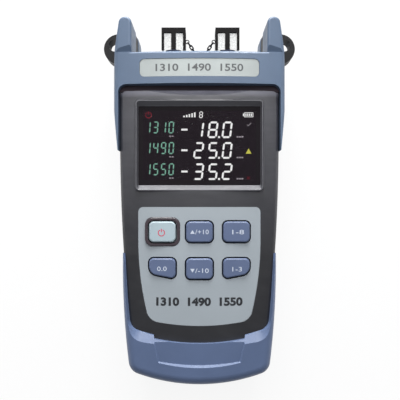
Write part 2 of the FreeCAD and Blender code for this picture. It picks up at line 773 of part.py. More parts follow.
def make_rear_shell():
    """The rear half of the case with the dark band, horn cores, lugs and battery bay."""
    body = case_block("RearShell", d.shell_lift, d.parting_z, as_size(0))
    fillet(body, d.rim_r, "RearShellRim",
           lambda edge: edge.BoundBox.ZMax < d.shell_lift.value + 0.01)
    core = new_sketch(body, "Core", offset=core_low + d.fit_gap)
    add_head_outline(core, d.core_inset, d.band_y, d.body_half - d.wall)
    pad(body, core, d.core_depth - 2 * d.fit_gap, "CorePad")
    top = (d.horn_top_y - d.core_inset).value
    outer = (d.horn_tip - d.core_inset).value
    inner = (d.horn_inner + d.core_inset).value
    fillet(body, d.horn_tip_r - d.core_inset, "CoreTips",
           lambda edge: any(upright_at(edge, x, top) for x in (outer, -outer, inner, -inner)))
    lugs = new_sketch(body, "Lugs", offset=d.parting_z - d.fit_gap)
    for x in (d.lug_x, -d.lug_x):
        add_circle(lugs, x, d.lug_y, d.lug_r)
    pad(body, lugs, d.lug_depth, "LugsPad", reverse=True)
    straps = new_sketch(body, "StrapHoles", offset=d.parting_z)
    for x in (d.strap_x, -d.strap_x):
        add_circle(straps, x, d.strap_y, d.strap_r)
    pocket(body, straps, d.core_depth + d.lug_depth, "StrapHolesCut")

    hollow = new_sketch(body, "RearHollow", offset=d.parting_z)
    add_case_outline(hollow, d.wall)
    pocket(body, hollow, d.parting_z - d.shell_lift - d.wall, "RearHollowCut")
    tub = new_sketch(body, "Tub", offset=d.shell_lift)
    bay_low_y = d.bay_top_y - d.bay_length
    add_rectangle(tub, -d.bay_half - d.door_lap - d.wall, bay_low_y - d.door_lap - d.wall,
                  d.bay_half + d.door_lap + d.wall, d.bay_top_y + d.door_lap + d.wall)
    pad(body, tub, d.door_depth + d.bay_depth + d.wall, "TubPad")
    bosses = new_sketch(body, "RearBosses", offset=d.shell_lift)
    for x, y in screw_places:
        add_circle(bosses, x, y, d.boss_r)
    pad(body, bosses, d.parting_z - d.shell_lift, "RearBossesPad")
    bay = new_sketch(body, "Bay", offset=d.shell_lift)
    add_rectangle(bay, -d.bay_half, bay_low_y, d.bay_half, d.bay_top_y)
    pocket(body, bay, d.door_depth + d.bay_depth, "BayCut", reverse=True)
    rebate = new_sketch(body, "Rebate", offset=d.shell_lift)
    add_rectangle(rebate, -d.bay_half - d.door_lap, bay_low_y - d.door_lap,
                  d.bay_half + d.door_lap, d.bay_top_y + d.door_lap)
    pocket(body, rebate, d.door_depth + d.door_gap, "RebateCut", reverse=True)
    holes = new_sketch(body, "ScrewHoles", offset=d.shell_lift)
    for x, y in screw_places:
        add_circle(holes, x, y, d.screw_r + d.screw_gap)
    pocket(body, holes, d.parting_z, "ScrewHolesCut", reverse=True)
    heads = new_sketch(body, "ScrewSeats", offset=d.shell_lift)
    for x, y in screw_places:
        add_circle(heads, x, y, d.screw_head_r + d.fit_gap)
    pocket(body, heads, d.wall, "ScrewSeatsCut", reverse=True)
    ports = new_sketch(body, "PortHoles", "XZ_Plane", offset=-d.deck_y)
    for x in (d.port_left_x, d.port_right_x):
        add_circle(ports, x, d.port_z, d.barrel_r + d.fit_gap)
    pocket(body, ports, 4 * d.wall + 2 * (d.head_top_y - d.deck_y), "PortHolesCut",
           both_ways=True)
    keep("rear_shell", body)


def guard_edge(edge):
    """Whether an edge belongs to the outer rim of a guard, above its side arms."""
    box = edge.BoundBox
    inside = box.YMax < d.band_y.value + 0.1 and box.YMin > d.arm_full_y.value
    return box.YMin > d.arm_full_y.value - 0.1 and not inside


def add_head_hollow(sketch):
    """The room for the end of the case inside a guard."""
    half = d.body_half + d.fit_gap
    add_rectangle(sketch, -half, d.face_top_y - d.face_corner_r, half, d.deck_y + d.fit_gap)


def add_side_rounding(sketch):
    """What is cut off the head guard's front at its sides, to round them."""
    radius = d.head_side_r
    half = d.head_half
    turn_x = half - radius
    turn_z = head_z - crown_drop(turn_x) + d.fit_gap / 3
    far = half + radius
    sky = head_z + radius
    right = [(half, turn_z - radius), (far, turn_z - radius), (far, sky), (turn_x, sky),
             (turn_x, turn_z)]
    add_profile(sketch, right, {4: -radius})
    left = [(-x, z) for x, z in reversed(right)]
    add_profile(sketch, left, {4: -radius})


def make_front_guard():
    """The front half of the blue head guard: band, horns and side arms."""
    body = head_block("FrontGuardBody", d.parting_z, head_z + d.head_rise, as_size(0), d.band_y)
    inner = (d.body_half + d.fit_gap).value
    fillet(body, d.face_corner_r, "BandCorners",
           lambda edge: upright_at(edge, inner, d.band_y.value)
           or upright_at(edge, -inner, d.band_y.value))
    crown_cut(body, "FrontGuardCrown", head_z)
    fillet(body, d.guard_edge_r, "FrontGuardRim",
           lambda edge: on_crown(edge, head_z) and guard_edge(edge))
    sides = new_sketch(body, "FrontGuardSides", "XZ_Plane")
    add_side_rounding(sides)
    pocket(body, sides, 3 * d.horn_top_y, "FrontGuardSidesCut", both_ways=True)
    hollow = new_sketch(body, "FrontGuardHollow", offset=d.parting_z)
    add_head_hollow(hollow)
    pocket(body, hollow, step_z + d.fit_gap - d.parting_z, "FrontGuardHollowCut", reverse=True)
    notch = new_sketch(body, "HornNotch", "YZ_Plane")
    start = d.head_top_y
    horn_z = head_z - crown_drop(d.horn_inner)
    finish = start + d.notch_length
    sky = head_z + d.head_rise
    add_profile(notch, [(start, horn_z - d.notch_depth), (finish, horn_z + d.fit_gap),
                        (finish, sky), (start, sky)])
    pocket(body, notch, 3 * d.head_half, "HornNotchCut", both_ways=True)
    recess = above_crown("PlateRecess", make_plate_prism("PlateRecessPrism", d.fit_gap),
                         head_z - d.plate_sink - d.plate_depth)
    keep("head_guard_front", boolean("Cut", "FrontGuard", body, recess))


def make_rear_guard():
    """The rear half of the blue head guard."""
    body = head_block("RearGuard", as_size(0), core_low, as_size(0), d.band_y)
    fillet(body, d.guard_edge_r, "RearGuardRim",
           lambda edge: edge.BoundBox.ZMax < 0.01 and guard_edge(edge))
    hollow = new_sketch(body, "RearGuardHollow", offset=d.shell_lift - d.fit_gap)
    add_head_hollow(hollow)
    pocket(body, hollow, d.parting_z, "RearGuardHollowCut", reverse=True)
    corner = new_sketch(body, "HornBack", "YZ_Plane")
    top = d.horn_top_y
    radius = d.horn_back_r
    beyond = top + radius
    add_profile(corner, [(top - radius, 0), (top - radius, -radius), (beyond, -radius),
                         (beyond, radius), (top, radius)], {4: -radius})
    pocket(body, corner, 3 * d.head_half, "HornBackCut", both_ways=True)
    keep("head_guard_rear", body)


def make_plate_prism(name, grow):
    """An upright prism in the outline of the name strip."""
    body = doc.addObject("PartDesign::Body", name)
    sketch = new_sketch(body, f"{name}Outline", offset=d.face_z)
    half = d.plate_half + grow
    tall = d.plate_width / 2 + grow
    add_rounded(sketch, -half, d.plate_y - tall, half, d.plate_y + tall,
                [d.plate_r + grow] * 4)
    pad(body, sketch, 2 * d.head_rise, f"{name}Block")
    return body


def make_name_strip():
    """The silver strip let into the head band."""
    prism = make_plate_prism("PlatePrism", as_size(0))
    keep("name_strip", crown_layer("NameStrip", prism, head_z - d.plate_sink, d.plate_depth))


def make_boot():
    """The blue boot: a sleeve round the foot with a bevelled mouth and a thumb recess."""
    body = doc.addObject("PartDesign::Body", "BootBody")
    outline = new_sketch(body, "BootOutline")
    low_y = d.foot_y - d.boot_toe
    low_x = side_x(d.foot_y) + d.boot_wall
    tip_x = side_x(d.boot_tip_y) + 2 * d.fit_gap
    corners = [(-low_x, low_y), (low_x, low_y), (tip_x, d.boot_tip_y), (-tip_x, d.boot_tip_y)]
    add_profile(outline, corners,
                {0: d.bottom_r + d.boot_toe, 1: d.boot_side_r, 3: d.boot_side_r})
    pad(body, outline, boot_z + d.head_rise, "BootBlock")
    fillet(body, d.boot_corner_r, "BootCorners",
           lambda edge: upright_at(edge, low_x.value, low_y.value)
           or upright_at(edge, -low_x.value, low_y.value))
    crown_cut(body, "BootCrown", boot_z)
    below_tip = d.boot_tip_y.value - 1
    fillet(body, d.boot_front_r, "BootFrontEdge",
           lambda edge: on_crown(edge, boot_z) and edge.BoundBox.YMin < below_tip)
    fillet(body, d.boot_edge_r, "BootBackEdge",
           lambda edge: edge.BoundBox.ZMax < 0.01 and edge.BoundBox.YMin < below_tip)

    pocket(body, mouth_outline(body, "FrontMouth", d.mouth_start_z), d.head_rise * 3,
           "FrontMouthCut", reverse=True, taper=d.mouth_angle)
    shoulders = new_sketch(body, "Shoulders", offset=d.mouth_start_z)
    add_rounded(shoulders, -d.shoulder_half, d.shoulder_y, d.shoulder_half, d.shoulder_top_y,
                [d.shoulder_r] * 4)
    pocket(body, shoulders, d.head_rise * 3, "ShouldersCut", reverse=True,
           taper=d.shoulder_angle)
    pocket(body, mouth_outline(body, "BackMouth", d.shell_lift), d.shell_lift + 1,
           "BackMouthCut")

    thumb_z = d.face_z + d.thumb_floor
    thumb = new_sketch(body, "Thumb", offset=thumb_z)
    add_profile(thumb, [
        (-d.thumb_low_half, d.thumb_low_y), (d.thumb_low_half, d.thumb_low_y),
        (d.thumb_top_half, d.mouth_y), (-d.thumb_top_half, d.mouth_y),
    ], {0: d.thumb_foot_r})
    pocket(body, thumb, 3 * d.head_rise, "ThumbCut", reverse=True, taper=d.thumb_angle)
    lip_low_z = d.mouth_start_z - d.wall
    lip = new_sketch(body, "ThumbMouth", offset=lip_low_z)
    share = (d.mouth_y - d.thumb_mouth_y) / (d.mouth_y - d.thumb_low_y)
    lip_half = d.thumb_top_half - (d.thumb_top_half - d.thumb_low_half) * share
    add_profile(lip, [
        (-lip_half, d.thumb_mouth_y), (lip_half, d.thumb_mouth_y),
        (d.thumb_top_half, d.mouth_y), (-d.thumb_top_half, d.mouth_y),
    ], {0: d.mouth_r})
    pocket(body, lip, thumb_z - lip_low_z, "ThumbMouthCut", reverse=True)

    cavity = case_block("BootCavity", d.shell_lift - d.fit_gap, head_z, -d.fit_gap)
    crown_cut(cavity, "BootCavityCrown", d.face_z + d.fit_gap)
    fillet(cavity, d.rim_r, "BootCavityRim",
           lambda edge: on_crown(edge, d.face_z + d.fit_gap))
    keep("boot", boolean("Cut", "Boot", body, cavity))


def mouth_outline(body, name, level):
    """The outline of the boot's mouth, with its lower corners rounded."""
    sketch = new_sketch(body, name, offset=level)
    top = d.boot_tip_y + d.boot_wall
    right = [(d.mouth_half, d.mouth_y), (d.mouth_corner_half, d.mouth_corner_y),
             (d.mouth_side_half, d.mouth_side_y), (side_x(d.boot_tip_y) + 2 * d.fit_gap, top)]
    left = [(-x, y) for x, y in reversed(right)]
    side = d.side_r / 2
    corner = d.mouth_corner_r
    add_profile(sketch, right + left, {0: corner, 1: side, 5: side, 6: corner, 7: d.mouth_r})
    return sketch


def make_display():
    """The display window, and the module behind it."""
    body = doc.addObject("PartDesign::Body", "DisplayWindow")
    sketch = new_sketch(body, "DisplayWindowOutline", offset=glass_top - d.glass_depth)
    tall = d.glass_height / 2
    add_rectangle(sketch, -d.glass_half, d.glass_y - tall, d.glass_half, d.glass_y + tall)
    pad(body, sketch, d.glass_depth, "DisplayWindowBlock")
    keep("display_window", body)
    margin = d.glass_ledge
    top = d.roof_z - d.fit_gap
    low = block("DisplayModuleFrame",
                (-d.glass_half + margin, d.glass_y - tall + margin, board_top + d.fit_gap),
                (d.glass_half - margin, d.glass_y + tall - margin, top))
    face = block("DisplayModuleFace",
                 (-d.glass_half + 2 * margin, d.glass_y - tall + 2 * margin, top),
                 (d.glass_half - 2 * margin, d.glass_y + tall - 2 * margin,
                  glass_top - d.glass_depth - d.fit_gap))
    keep("display_module", fuse("DisplayModule", [low, face]))


def make_keypad():
    """The overlay, the power key's ring and the six keys."""
    prism = make_overlay_prism("OverlayPrism", as_size(0))
    openings = new_sketch(prism, "OverlayOpenings", offset=d.roof_z)
    for name, column, row, radii in KEYS[1:]:
        add_key_outline(openings, column, row, radii, d.key_gap)
    ring_outline(openings, d.fit_gap)
    pocket(prism, openings, 3 * (d.face_z - d.roof_z), "OverlayOpeningsCut", reverse=True)
    keep("keypad_overlay", crown_layer("KeypadOverlay", prism, d.face_z, d.sheet_depth))

    ring = doc.addObject("PartDesign::Body", "PowerKeyRing")
    ring_x = d.key_pitch_x
    ring_low = d.face_z - d.sheet_depth - crown_drop(ring_x + d.ring_width / 2) - d.ring_rise
    ring_top = d.face_z - crown_drop(ring_x) + d.ring_rise
    sketch = new_sketch(ring, "RingOutline", offset=ring_low + d.fit_gap)
    ring_outline(sketch, as_size(0))
    pad(ring, sketch, ring_top - ring_low - d.fit_gap, "RingBlock")
    hole = new_sketch(ring, "RingHole", offset=ring_low)
    add_key_outline(hole, -1, 0, KEYS[0][3], d.key_gap)
    pocket(ring, hole, 3 * d.head_rise, "RingHoleCut", reverse=True)
    fillet(ring, d.ring_edge_r, "RingEdge",
           lambda edge: edge.BoundBox.ZMin > ring_top.value - 0.01
           and edge.BoundBox.XMin < -(ring_x + d.key_width / 2 + d.key_gap).value - 0.05)
    keep("power_key_ring", ring)

    for name, column, row, radii in KEYS:
        make_key(name, column, row, radii)


def make_key(name, column, row, radii):
    """A key cap with the flange that keeps it in and a stem under it."""
    body = doc.addObject("PartDesign::Body", f"{name}_body")
    top = d.face_z - crown_drop(abs(column) * d.key_pitch_x) + d.key_rise
    cap = new_sketch(body, f"{name}_cap", offset=flange_low)
    add_key_outline(cap, column, row, radii, as_size(0))
    pad(body, cap, top - flange_low, f"{name}_block")
    fillet(body, d.key_edge_r, f"{name}_edge",
           lambda edge: edge.BoundBox.ZMin > top.value - 0.01)
    flange = new_sketch(body, f"{name}_flange", offset=flange_low)
    add_key_outline(flange, column, row, radii, d.key_flange)
    pad(body, flange, d.key_flange_depth, f"{name}_flange_pad")
    stem = new_sketch(body, f"{name}_stem", offset=flange_low)
    x, y = key_centre(column, row)
    add_circle(stem, x, y, d.stem_r)
    pad(body, stem, d.stem_length, f"{name}_stem_pad", reverse=True)
    keep(name, body)


def make_board():
    """The main board, and the rubber mat whose domes the keys press."""
    board = block("MainBoard", (-d.board_half, d.board_low_y, d.board_z),
                  (d.board_half, d.board_top_y, board_top))
    keep("main_board", board)
    reach = d.key_pitch_x + d.key_width / 2
    low_y = d.key_row_y - d.key_pitch_y - d.key_height / 2
    mat = block("KeyMatSheet", (-reach, low_y, board_top),
                (reach, d.key_row_y + d.key_height / 2, board_top + d.mat_depth))
    domes = []
    dome_top = stem_low - d.key_travel - d.screw_gap
    for name, column, row, radii in KEYS:
        x, y = key_centre(column, row)
        dome = doc.addObject("Part::Cone", f"{name}_dome")
        dome.setExpression("Radius1", d.dome_foot_r.text)
        dome.setExpression("Radius2", d.dome_top_r.text)
        dome.setExpression("Height", (dome_top - board_top - d.mat_depth).text)
        place(dome, x, y, board_top + d.mat_depth)
        domes.append(dome)
    keep("key_mat", fuse("KeyMat", [mat] + domes))


def make_port(side, x):
    """An optical input: receptacle, nut, ceramic sleeve and detector."""
    square_y = deck_face + d.nut_length + 2 * d.fit_gap
    wide, deep = d.mouth_wide / 2, d.mouth_deep / 2
    barrel = cylinder(f"{side}Barrel", d.barrel_r, square_y - deck_face + d.barrel_length,
                      x, deck_face - d.barrel_length, d.port_z, "y")
    square = block(f"{side}Square", (x - wide, square_y, d.port_z - deep),
                   (x + wide, square_y + d.mouth_length, d.port_z + deep))
    wide, deep = d.socket_wide / 2, d.socket_deep / 2
    floor_y = square_y + d.socket_floor
    socket = block(f"{side}Socket", (x - wide, floor_y, d.port_z - deep),
                   (x + wide, floor_y + d.mouth_length, d.port_z + deep))
    receptacle = boolean("Cut", f"{side}Receptacle", fuse(f"{side}Metal", [barrel, square]), socket)
    keep(f"receptacle_{side}", receptacle)
    outer = cylinder(f"{side}NutOuter", d.nut_r, d.nut_length, x, deck_face + d.fit_gap,
                     d.port_z, "y")
    bore = cylinder(f"{side}NutBore", d.barrel_r + d.fit_gap / 3, d.nut_length * 2, x,
                    deck_face, d.port_z, "y")
    keep(f"nut_{side}", boolean("Cut", f"{side}Nut", outer, bore))
    tube = cylinder(f"{side}Tube", d.sleeve_r, d.sleeve_length, x, floor_y, d.port_z, "y")
    hole = cylinder(f"{side}TubeBore", d.sleeve_bore_r, d.sleeve_length * 2, x, floor_y,
                    d.port_z, "y")
    keep(f"sleeve_{side}", boolean("Cut", f"{side}Sleeve", tube, hole))
    back = deck_face - d.barrel_length
    half = d.barrel_r + 1
    detector = block(f"{side}Detector", (x - half, back - 2 * half, d.port_z - half),
                     (x + half, back, d.port_z + half))
    keep(f"detector_{side}", detector)
    make_cap(side, x, square_y + d.mouth_length + d.cap_gap)


def make_cap(side, x, seat_y):
    """A dust cap: a top plate with three legs in front and three behind, and an eye."""
    half = d.mouth_wide / 2 + d.cap_gap
    front = d.mouth_deep / 2 + d.cap_gap
    pieces = [block(f"{side}CapTop", (x - half, seat_y, d.port_z - front - d.cap_leg),
                    (x + half, seat_y + d.cap_top, d.port_z + front + d.cap_leg))]
    spans = [(-half, -half + d.cap_leg_side), (-d.cap_leg_mid / 2, d.cap_leg_mid / 2),
             (half - d.cap_leg_side, half)]
    for place_name, low_z in (("Front", d.port_z + front), ("Back", d.port_z - front - d.cap_leg)):
        for number, (low_x, high_x) in enumerate(spans):
            pieces.append(block(
                f"{side}Cap{place_name}{number}",
                (x + low_x, seat_y - d.cap_leg_length, low_z),
                (x + high_x, seat_y, low_z + d.cap_leg)))
    eye_x, eye_y, eye_z = cap_eye(side)
    eye = doc.addObject("Part::Torus", f"{side}CapEye")
    eye.setExpression("Radius1", (d.link_width / 2).text)
    eye.setExpression("Radius2", (d.link_wire / 2).text)
    place(eye, eye_x, eye_y, eye_z)
    pieces.append(eye)
    keep(f"dust_cap_{side}", fuse(f"{side}Cap", pieces))


def cap_eye(side):
    """Centre of the eye on the inner side of a dust cap."""
    half = d.mouth_wide / 2 + d.cap_gap
    z = d.port_z + d.mouth_deep / 2 + d.cap_gap + d.cap_leg / 2
    y = deck_face + d.nut_length + d.eye_height
    reach = half + d.link_width / 2
    if side == "left":
        return d.port_left_x + reach, y, z
    return d.port_right_x - reach, y, z


def make_link(centre, along, roll):
    """One oval link of round wire, lengthwise along a direction."""
    long = (d.link_length - d.link_width).value / 2
    bend = (d.link_width - d.link_wire).value / 2
    wire = d.link_wire.value / 2
    vector = FreeCAD.Vector
    upper = Part.Arc(vector(long, bend, 0), vector(long + bend, 0, 0), vector(long, -bend, 0))
    lower = Part.Arc(vector(-long, -bend, 0), vector(-long - bend, 0, 0), vector(-long, bend, 0))
    path = Part.Wire([
        Part.LineSegment(vector(-long, bend, 0), vector(long, bend, 0)).toShape(),
        upper.toShape(),
        Part.LineSegment(vector(long, -bend, 0), vector(-long, -bend, 0)).toShape(),
        lower.toShape(),
    ])
    circle = Part.Wire(Part.makeCircle(wire, vector(0, bend, 0), vector(1, 0, 0)))
    link = path.makePipeShell([circle], True, True)
    link.rotate(vector(0, 0, 0), vector(1, 0, 0), roll)
    across = vector(0, 0, 1).cross(along)
    turn = FreeCAD.Rotation(along, across, along.cross(across), "XYZ")
    link.Placement = FreeCAD.Placement(centre, turn).multiply(link.Placement)
    return link


# The staple's ring and its reach, in widths of a link, and the play between links

STAPLE_RING = 0.7
STAPLE_REACH = 1.6
LINK_PLAY = 0.01


def make_chains():
    """The staple between the inputs, and a chain of links to each cap."""
    staple_x = (d.port_left_x + d.port_right_x) / 2
    post = cylinder("StaplePost", d.link_width * STAPLE_RING, d.link_width, staple_x,
                    deck_face + d.fit_gap / 2, d.port_z, "y")
    ring_y = deck_face + d.link_width * STAPLE_REACH
    ring = doc.addObject("Part::Torus", "StapleRing")
    ring.setExpression("Radius1", (d.link_width * STAPLE_RING).text)
    ring.setExpression("Radius2", (d.link_wire / 2).text)
    place(ring, staple_x, ring_y, d.port_z)
    keep("chain_staple", fuse("ChainStaple", [post, ring]))
    centre = FreeCAD.Vector(staple_x.value, ring_y.value, d.port_z.value)
    for side in ("left", "right"):
        eye = FreeCAD.Vector(*[size.value for size in cap_eye(side)])
        across = FreeCAD.Vector(eye.x - centre.x, eye.y - centre.y, 0).normalize()
        start = eye - across * (d.link_width / 2).value
        end = centre + across * (d.link_width * STAPLE_RING).value
        chain = doc.addObject("Part::Feature", f"chain_{side}")
        chain.Shape = Part.makeCompound(chain_links(start, end))
        keep(f"chain_{side}", chain)


def chain_links(start, end):
    """An odd number of links from the wire of one ring to the wire of another."""
    loose = (d.link_length - 3 * d.link_wire).value / 2 - LINK_PLAY
    tight = (d.link_length - 2 * d.link_wire).value - LINK_PLAY
    along = (end - start).normalize()
    span = (end - start).Length - 2 * loose
    pairs = math.ceil(span / tight / 2)
    links = []
    for number in range(2 * pairs + 1):
        centre = start + along * (loose + span * number / (2 * pairs))
        links.append(make_link(centre, along, 90 * (number % 2 == 0)))
    return links


def make_battery():
    """Three cells in their bay with contacts, and the door."""
    bay_low_y = d.bay_top_y - d.bay_length
    contact_y = (d.bay_top_y - d.fit_gap, bay_low_y + d.fit_gap)
    cell_z = door_top + d.fit_gap * 2 + d.cell_r
    button = d.contact_depth * 3
    plates = []
    springs = []
    for number in (1, 2, 3):
        x = (number - 2) * d.cell_pitch
        up = number != 2
        top_y = contact_y[0] - d.contact_depth
        low_y = contact_y[1] + d.contact_depth
        plates.append(block(f"PlateTop{number}", (x - d.cell_r / 2, top_y, cell_z - d.cell_r / 2),
                            (x + d.cell_r / 2, contact_y[0], cell_z + d.cell_r / 2)))
        plates.append(block(f"PlateLow{number}",
                            (x - d.cell_r / 2, contact_y[1], cell_z - d.cell_r / 2),
                            (x + d.cell_r / 2, low_y, cell_z + d.cell_r / 2)))
        start = top_y - button - d.cell_length if up else low_y + button
        barrel = cylinder(f"CellBody{number}", d.cell_r, d.cell_length, x, start, cell_z, "y")
        tip = cylinder(f"CellButton{number}", d.cell_r / 3, button, x,
                       start + d.cell_length if up else low_y, cell_z, "y")
        keep(f"cell_{number}", fuse(f"Cell{number}", [barrel, tip]))
        spring_room = top_y - low_y - button - d.cell_length
        spring = doc.addObject("Part::Cone", f"Spring{number}")
        spring.setExpression("Radius1", (d.spring_wide_r if up else d.spring_slim_r).text)
        spring.setExpression("Radius2", (d.spring_slim_r if up else d.spring_wide_r).text)
        spring.setExpression("Height", spring_room.text)
        spring.Placement = FreeCAD.Placement(
            FreeCAD.Vector(), FreeCAD.Rotation(FreeCAD.Vector(1, 0, 0), -90))
        place(spring, x, low_y if up else start + d.cell_length, cell_z)
        springs.append(spring)
    keep("contact_plates", group("ContactPlates", plates))
    keep("contact_springs", group("ContactSprings", springs))

    half = d.bay_half + d.door_lap - d.door_gap
    body = doc.addObject("PartDesign::Body", "BatteryDoor")
    sketch = new_sketch(body, "DoorOutline", offset=d.shell_lift)
    low = bay_low_y - d.door_lap + d.door_gap
    high = d.bay_top_y + d.door_lap - d.door_gap
    add_rectangle(sketch, -half, low, half, high)
    pad(body, sketch, d.door_depth, "DoorBlock")
    grips = new_sketch(body, "DoorGrips", offset=d.shell_lift)
    for number in range(4):
        y = high - d.cell_r - number * d.grip_pitch
        add_rectangle(grips, -half / 2, y - d.grip_width / 2, half / 2, y + d.grip_width / 2)
    pocket(body, grips, d.grip_depth, "DoorGripsCut", reverse=True)
    keep("battery_door", body)


def make_screws():
    """The four case screws."""
    screws = []
    head_low = d.shell_lift + d.fit_gap
    head_top = d.shell_lift + d.wall
    tip = d.parting_z + d.screw_reach
    for number, (x, y) in enumerate(screw_places):
        head = cylinder(f"ScrewHead{number}", d.screw_head_r, head_top - head_low, x, y,
                        head_low, "z")
        shank = cylinder(f"ScrewShank{number}", d.screw_r, tip - head_top, x, y, head_top, "z")
        screws.append(fuse(f"Screw{number}", [head, shank]))
    keep("case_screws", group("CaseScrews", screws))


def check_document():
    """Stop if an object failed or a sub-part has no valid shape."""
    doc.recompute()
    for item in doc.Objects:
        if "Invalid" in item.State or "Error" in item.State:
            raise RuntimeError(f"{item.Name} failed: {item.State}")
    for label, feature in NODES.items():
        shape = feature.Shape
        if shape.isNull() or not shape.isValid() or not shape.Solids:
            raise RuntimeError(f"{label} has no valid shape")


make_front_shell()
make_rear_shell()
make_front_guard()
make_rear_guard()
make_name_strip()
make_boot()
make_display()
make_keypad()
make_board()
make_port("left", d.port_left_x)
make_port("right", d.port_right_x)
make_chains()
make_battery()
make_screws()
check_document()

os.makedirs("parts", exist_ok=True)
for label, feature in NODES.items():
    feature.Shape.exportStep(f"parts/{label}.step")
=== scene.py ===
"""Handheld optical power meter on its back: finishes, display, keys, studio and camera."""

from __future__ import annotations

import logging
import math
from dataclasses import dataclass, field
from enum import Enum
from typing import Iterable, Sequence

import bmesh
import bpy
from mathutils import Matrix, Vector


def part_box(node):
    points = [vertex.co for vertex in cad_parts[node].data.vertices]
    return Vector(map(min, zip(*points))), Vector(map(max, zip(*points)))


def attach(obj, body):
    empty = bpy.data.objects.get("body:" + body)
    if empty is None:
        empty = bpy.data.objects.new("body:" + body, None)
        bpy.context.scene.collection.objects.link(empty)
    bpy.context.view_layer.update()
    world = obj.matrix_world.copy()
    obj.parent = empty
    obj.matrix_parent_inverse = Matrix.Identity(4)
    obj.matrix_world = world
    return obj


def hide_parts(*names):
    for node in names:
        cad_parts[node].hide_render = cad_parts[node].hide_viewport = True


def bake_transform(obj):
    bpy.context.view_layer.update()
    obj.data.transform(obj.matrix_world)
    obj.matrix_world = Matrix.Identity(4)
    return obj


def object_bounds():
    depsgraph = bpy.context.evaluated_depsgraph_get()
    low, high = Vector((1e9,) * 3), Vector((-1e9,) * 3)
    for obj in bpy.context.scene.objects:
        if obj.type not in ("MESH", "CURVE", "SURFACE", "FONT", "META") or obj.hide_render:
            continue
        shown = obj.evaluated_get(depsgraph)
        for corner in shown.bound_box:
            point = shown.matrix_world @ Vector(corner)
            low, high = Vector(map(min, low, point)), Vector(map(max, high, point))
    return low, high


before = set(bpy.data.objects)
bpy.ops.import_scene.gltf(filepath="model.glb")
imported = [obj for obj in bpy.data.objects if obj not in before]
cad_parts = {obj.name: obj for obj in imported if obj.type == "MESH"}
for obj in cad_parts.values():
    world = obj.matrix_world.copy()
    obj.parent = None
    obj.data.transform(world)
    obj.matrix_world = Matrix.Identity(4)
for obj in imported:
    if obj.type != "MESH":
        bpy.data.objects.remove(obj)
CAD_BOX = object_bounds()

MM = 0.001
MERGE_REACH = 0.002 * MM
CROWN_RADIUS = 300 * MM
PRINT_DEPTH = 0.03 * MM
WAVELENGTHS = ("1310", "1490", "1550")
FIGURES = "  ".join(WAVELENGTHS)

# Sockets of the Mix node in its colour mode
MIX_UNDER, MIX_OVER, MIX_RESULT = 6, 7, 2

log = logging.getLogger("power_meter")

Colour = tuple[float, float, float]
Point = tuple[float, float]
Shape = bmesh.types.BMesh
Socket = bpy.types.NodeSocket


class Body(Enum):
    """The rigid bodies that the pieces ride on."""

    CASE = "case"
    POWER_KEY = "power_key_body"
    UP_KEY = "up_key_body"
    SET_KEY = "set_key_body"
    LEFT_KEY = "left_key_body"
    DOWN_KEY = "down_key_body"
    RIGHT_KEY = "right_key_body"
    LEFT_CAP = "cap_left_body"
    RIGHT_CAP = "cap_right_body"
    DOOR = "door_body"


class Grain(Enum):
    """How a moulded surface is textured: feature size in mm and bump strength."""

    POLISHED = (0.9, 0.02)
    SATIN = (0.28, 0.10)
    SPARKED = (0.34, 0.22)
    SOFT = (0.22, 0.14)


class Pointer(Enum):
    """Which way the triangle on a key points, if it has one."""

    NONE = 0
    UP = 1
    DOWN = -1


def linear(red: int, green: int, blue: int) -> Colour:
    """Scene-linear colour of an 8-bit display colour.

    Args:
        red: red from 0 to 255.
        green: green from 0 to 255.
        blue: blue from 0 to 255.

    Returns:
        The three channels, linear, from 0 to 1.
    """

    def channel(level: int) -> float:
        """One channel, undone from its display curve."""
        share = level / 255
        return share / 12.92 if share <= 0.04045 else ((share + 0.055) / 1.055) ** 2.4

    return channel(red), channel(green), channel(blue)


def scaled(colour: Colour, factor: float) -> Colour:
    """The colour made lighter or darker by one factor, kept under 1."""
    return tuple(min(1.0, part * factor) for part in colour)


